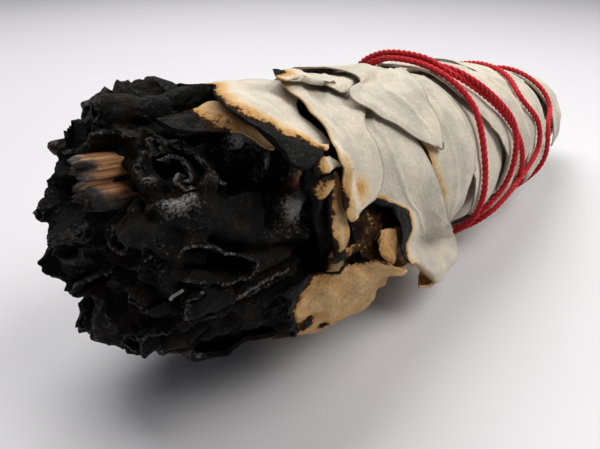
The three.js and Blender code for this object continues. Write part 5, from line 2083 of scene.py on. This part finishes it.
@dataclass
class Studio:
    """The pale table, the soft light and the camera, its focal length that of a 36 mm sensor."""

    azimuth: float = -45.5
    elevation: float = 31.1
    eye: tuple[float, float, float] = (-78.6, -54.3, 61.9)
    focal: float = 31.2
    floor_half: float = 1500.0

    def build(self) -> None:
        """Makes the camera, the table, the lights and the room's own light."""
        self.camera()
        self.table()
        self.lamp("window_light", (70, 215, 400), (420, 290), 2.2, (1.0, 0.99, 0.97))
        self.lamp("fill_light", (150, -190, 330), (280, 280), 1.4, (1.0, 0.98, 0.95))
        world = bpy.context.scene.world or bpy.data.worlds.new("room")
        bpy.context.scene.world = world
        world.use_nodes = True
        back = world.node_tree.nodes["Background"]
        back.inputs["Color"].default_value = (0.93, 0.93, 1.0, 1)
        back.inputs["Strength"].default_value = 0.12
        bpy.context.scene.view_settings.view_transform = "Standard"

    def camera(self) -> None:
        """Stands the camera at the bunch's near burnt corner."""
        turn, rise = math.radians(self.azimuth), math.radians(self.elevation)
        back = Vector((math.sin(turn) * math.cos(rise), -math.cos(turn) * math.cos(rise), math.sin(rise)))
        data = bpy.data.cameras.new("camera")
        data.lens = self.focal
        data.sensor_width = 36.0
        data.clip_start, data.clip_end = 0.005, 20.0
        eye = bpy.data.objects.new("camera", data)
        eye.location = Vector(self.eye) * MM
        eye.rotation_mode = "QUATERNION"
        eye.rotation_quaternion = (-back).to_track_quat("-Z", "Y")
        bpy.context.scene.collection.objects.link(eye)
        bpy.context.scene.camera = eye

    def table(self) -> None:
        """Lays the plain pale surface."""
        half = self.floor_half
        corners = np.array([(-half, -half, 0), (half, -half, 0), (half, half, 0), (-half, half, 0)], float)
        table = Workshop.mesh("pale_table", Shape(corners, [(0, 1, 2, 3)]), TableFinish().made())

    def lamp(self, name: str, at: Sequence[float], size: Sequence[float], power: float,
             colour: Sequence[float]) -> None:
        """Hangs one soft rectangular lamp, facing the bunch.

        Args:
            name: Its name.
            at: Where it hangs, in millimetres.
            size: Its width and height, in millimetres.
            power: Its power, in watts.
            colour: Its colour.
        """
        data = bpy.data.lights.new(name, "AREA")
        data.shape = "RECTANGLE"
        data.size, data.size_y = size[0] * MM, size[1] * MM
        data.energy = power
        data.color = colour
        lamp = bpy.data.objects.new(name, data)
        lamp.location = Vector(at) * MM
        aim = Vector((0, 0, 15)) * MM - lamp.location
        lamp.rotation_mode = "QUATERNION"
        lamp.rotation_quaternion = aim.to_track_quat("-Z", "Y")
        bpy.context.scene.collection.objects.link(lamp)


def main() -> None:
    """Builds the sub-assemblies in order and reports each."""
    logging.basicConfig(level=logging.INFO, format="%(name)s %(message)s")
    Studio().build()
    leaf_finish = LeafFinish().made()
    outline = Outline()
    packed, charred, wrapped = PackedLeaves(), CharredEnd(), WrappedLeaves()
    tips, plates = packed.tips(outline), charred.plate_sheets()
    crust = charred.crust.sheet(outline)
    roll = Roll(outline, wrapped.leaves, [*tips, crust, *plates])
    thread = Thread()
    thread.press(roll)
    wrapped.build(roll, leaf_finish)
    packed.build(roll, tips, leaf_finish)
    charred.build(roll, plates, CharFinish().made())
    Stems().build(outline, StemFinish().made())
    thread.build(roll, ThreadFinish().made())


if __name__ == "__main__":
    main()
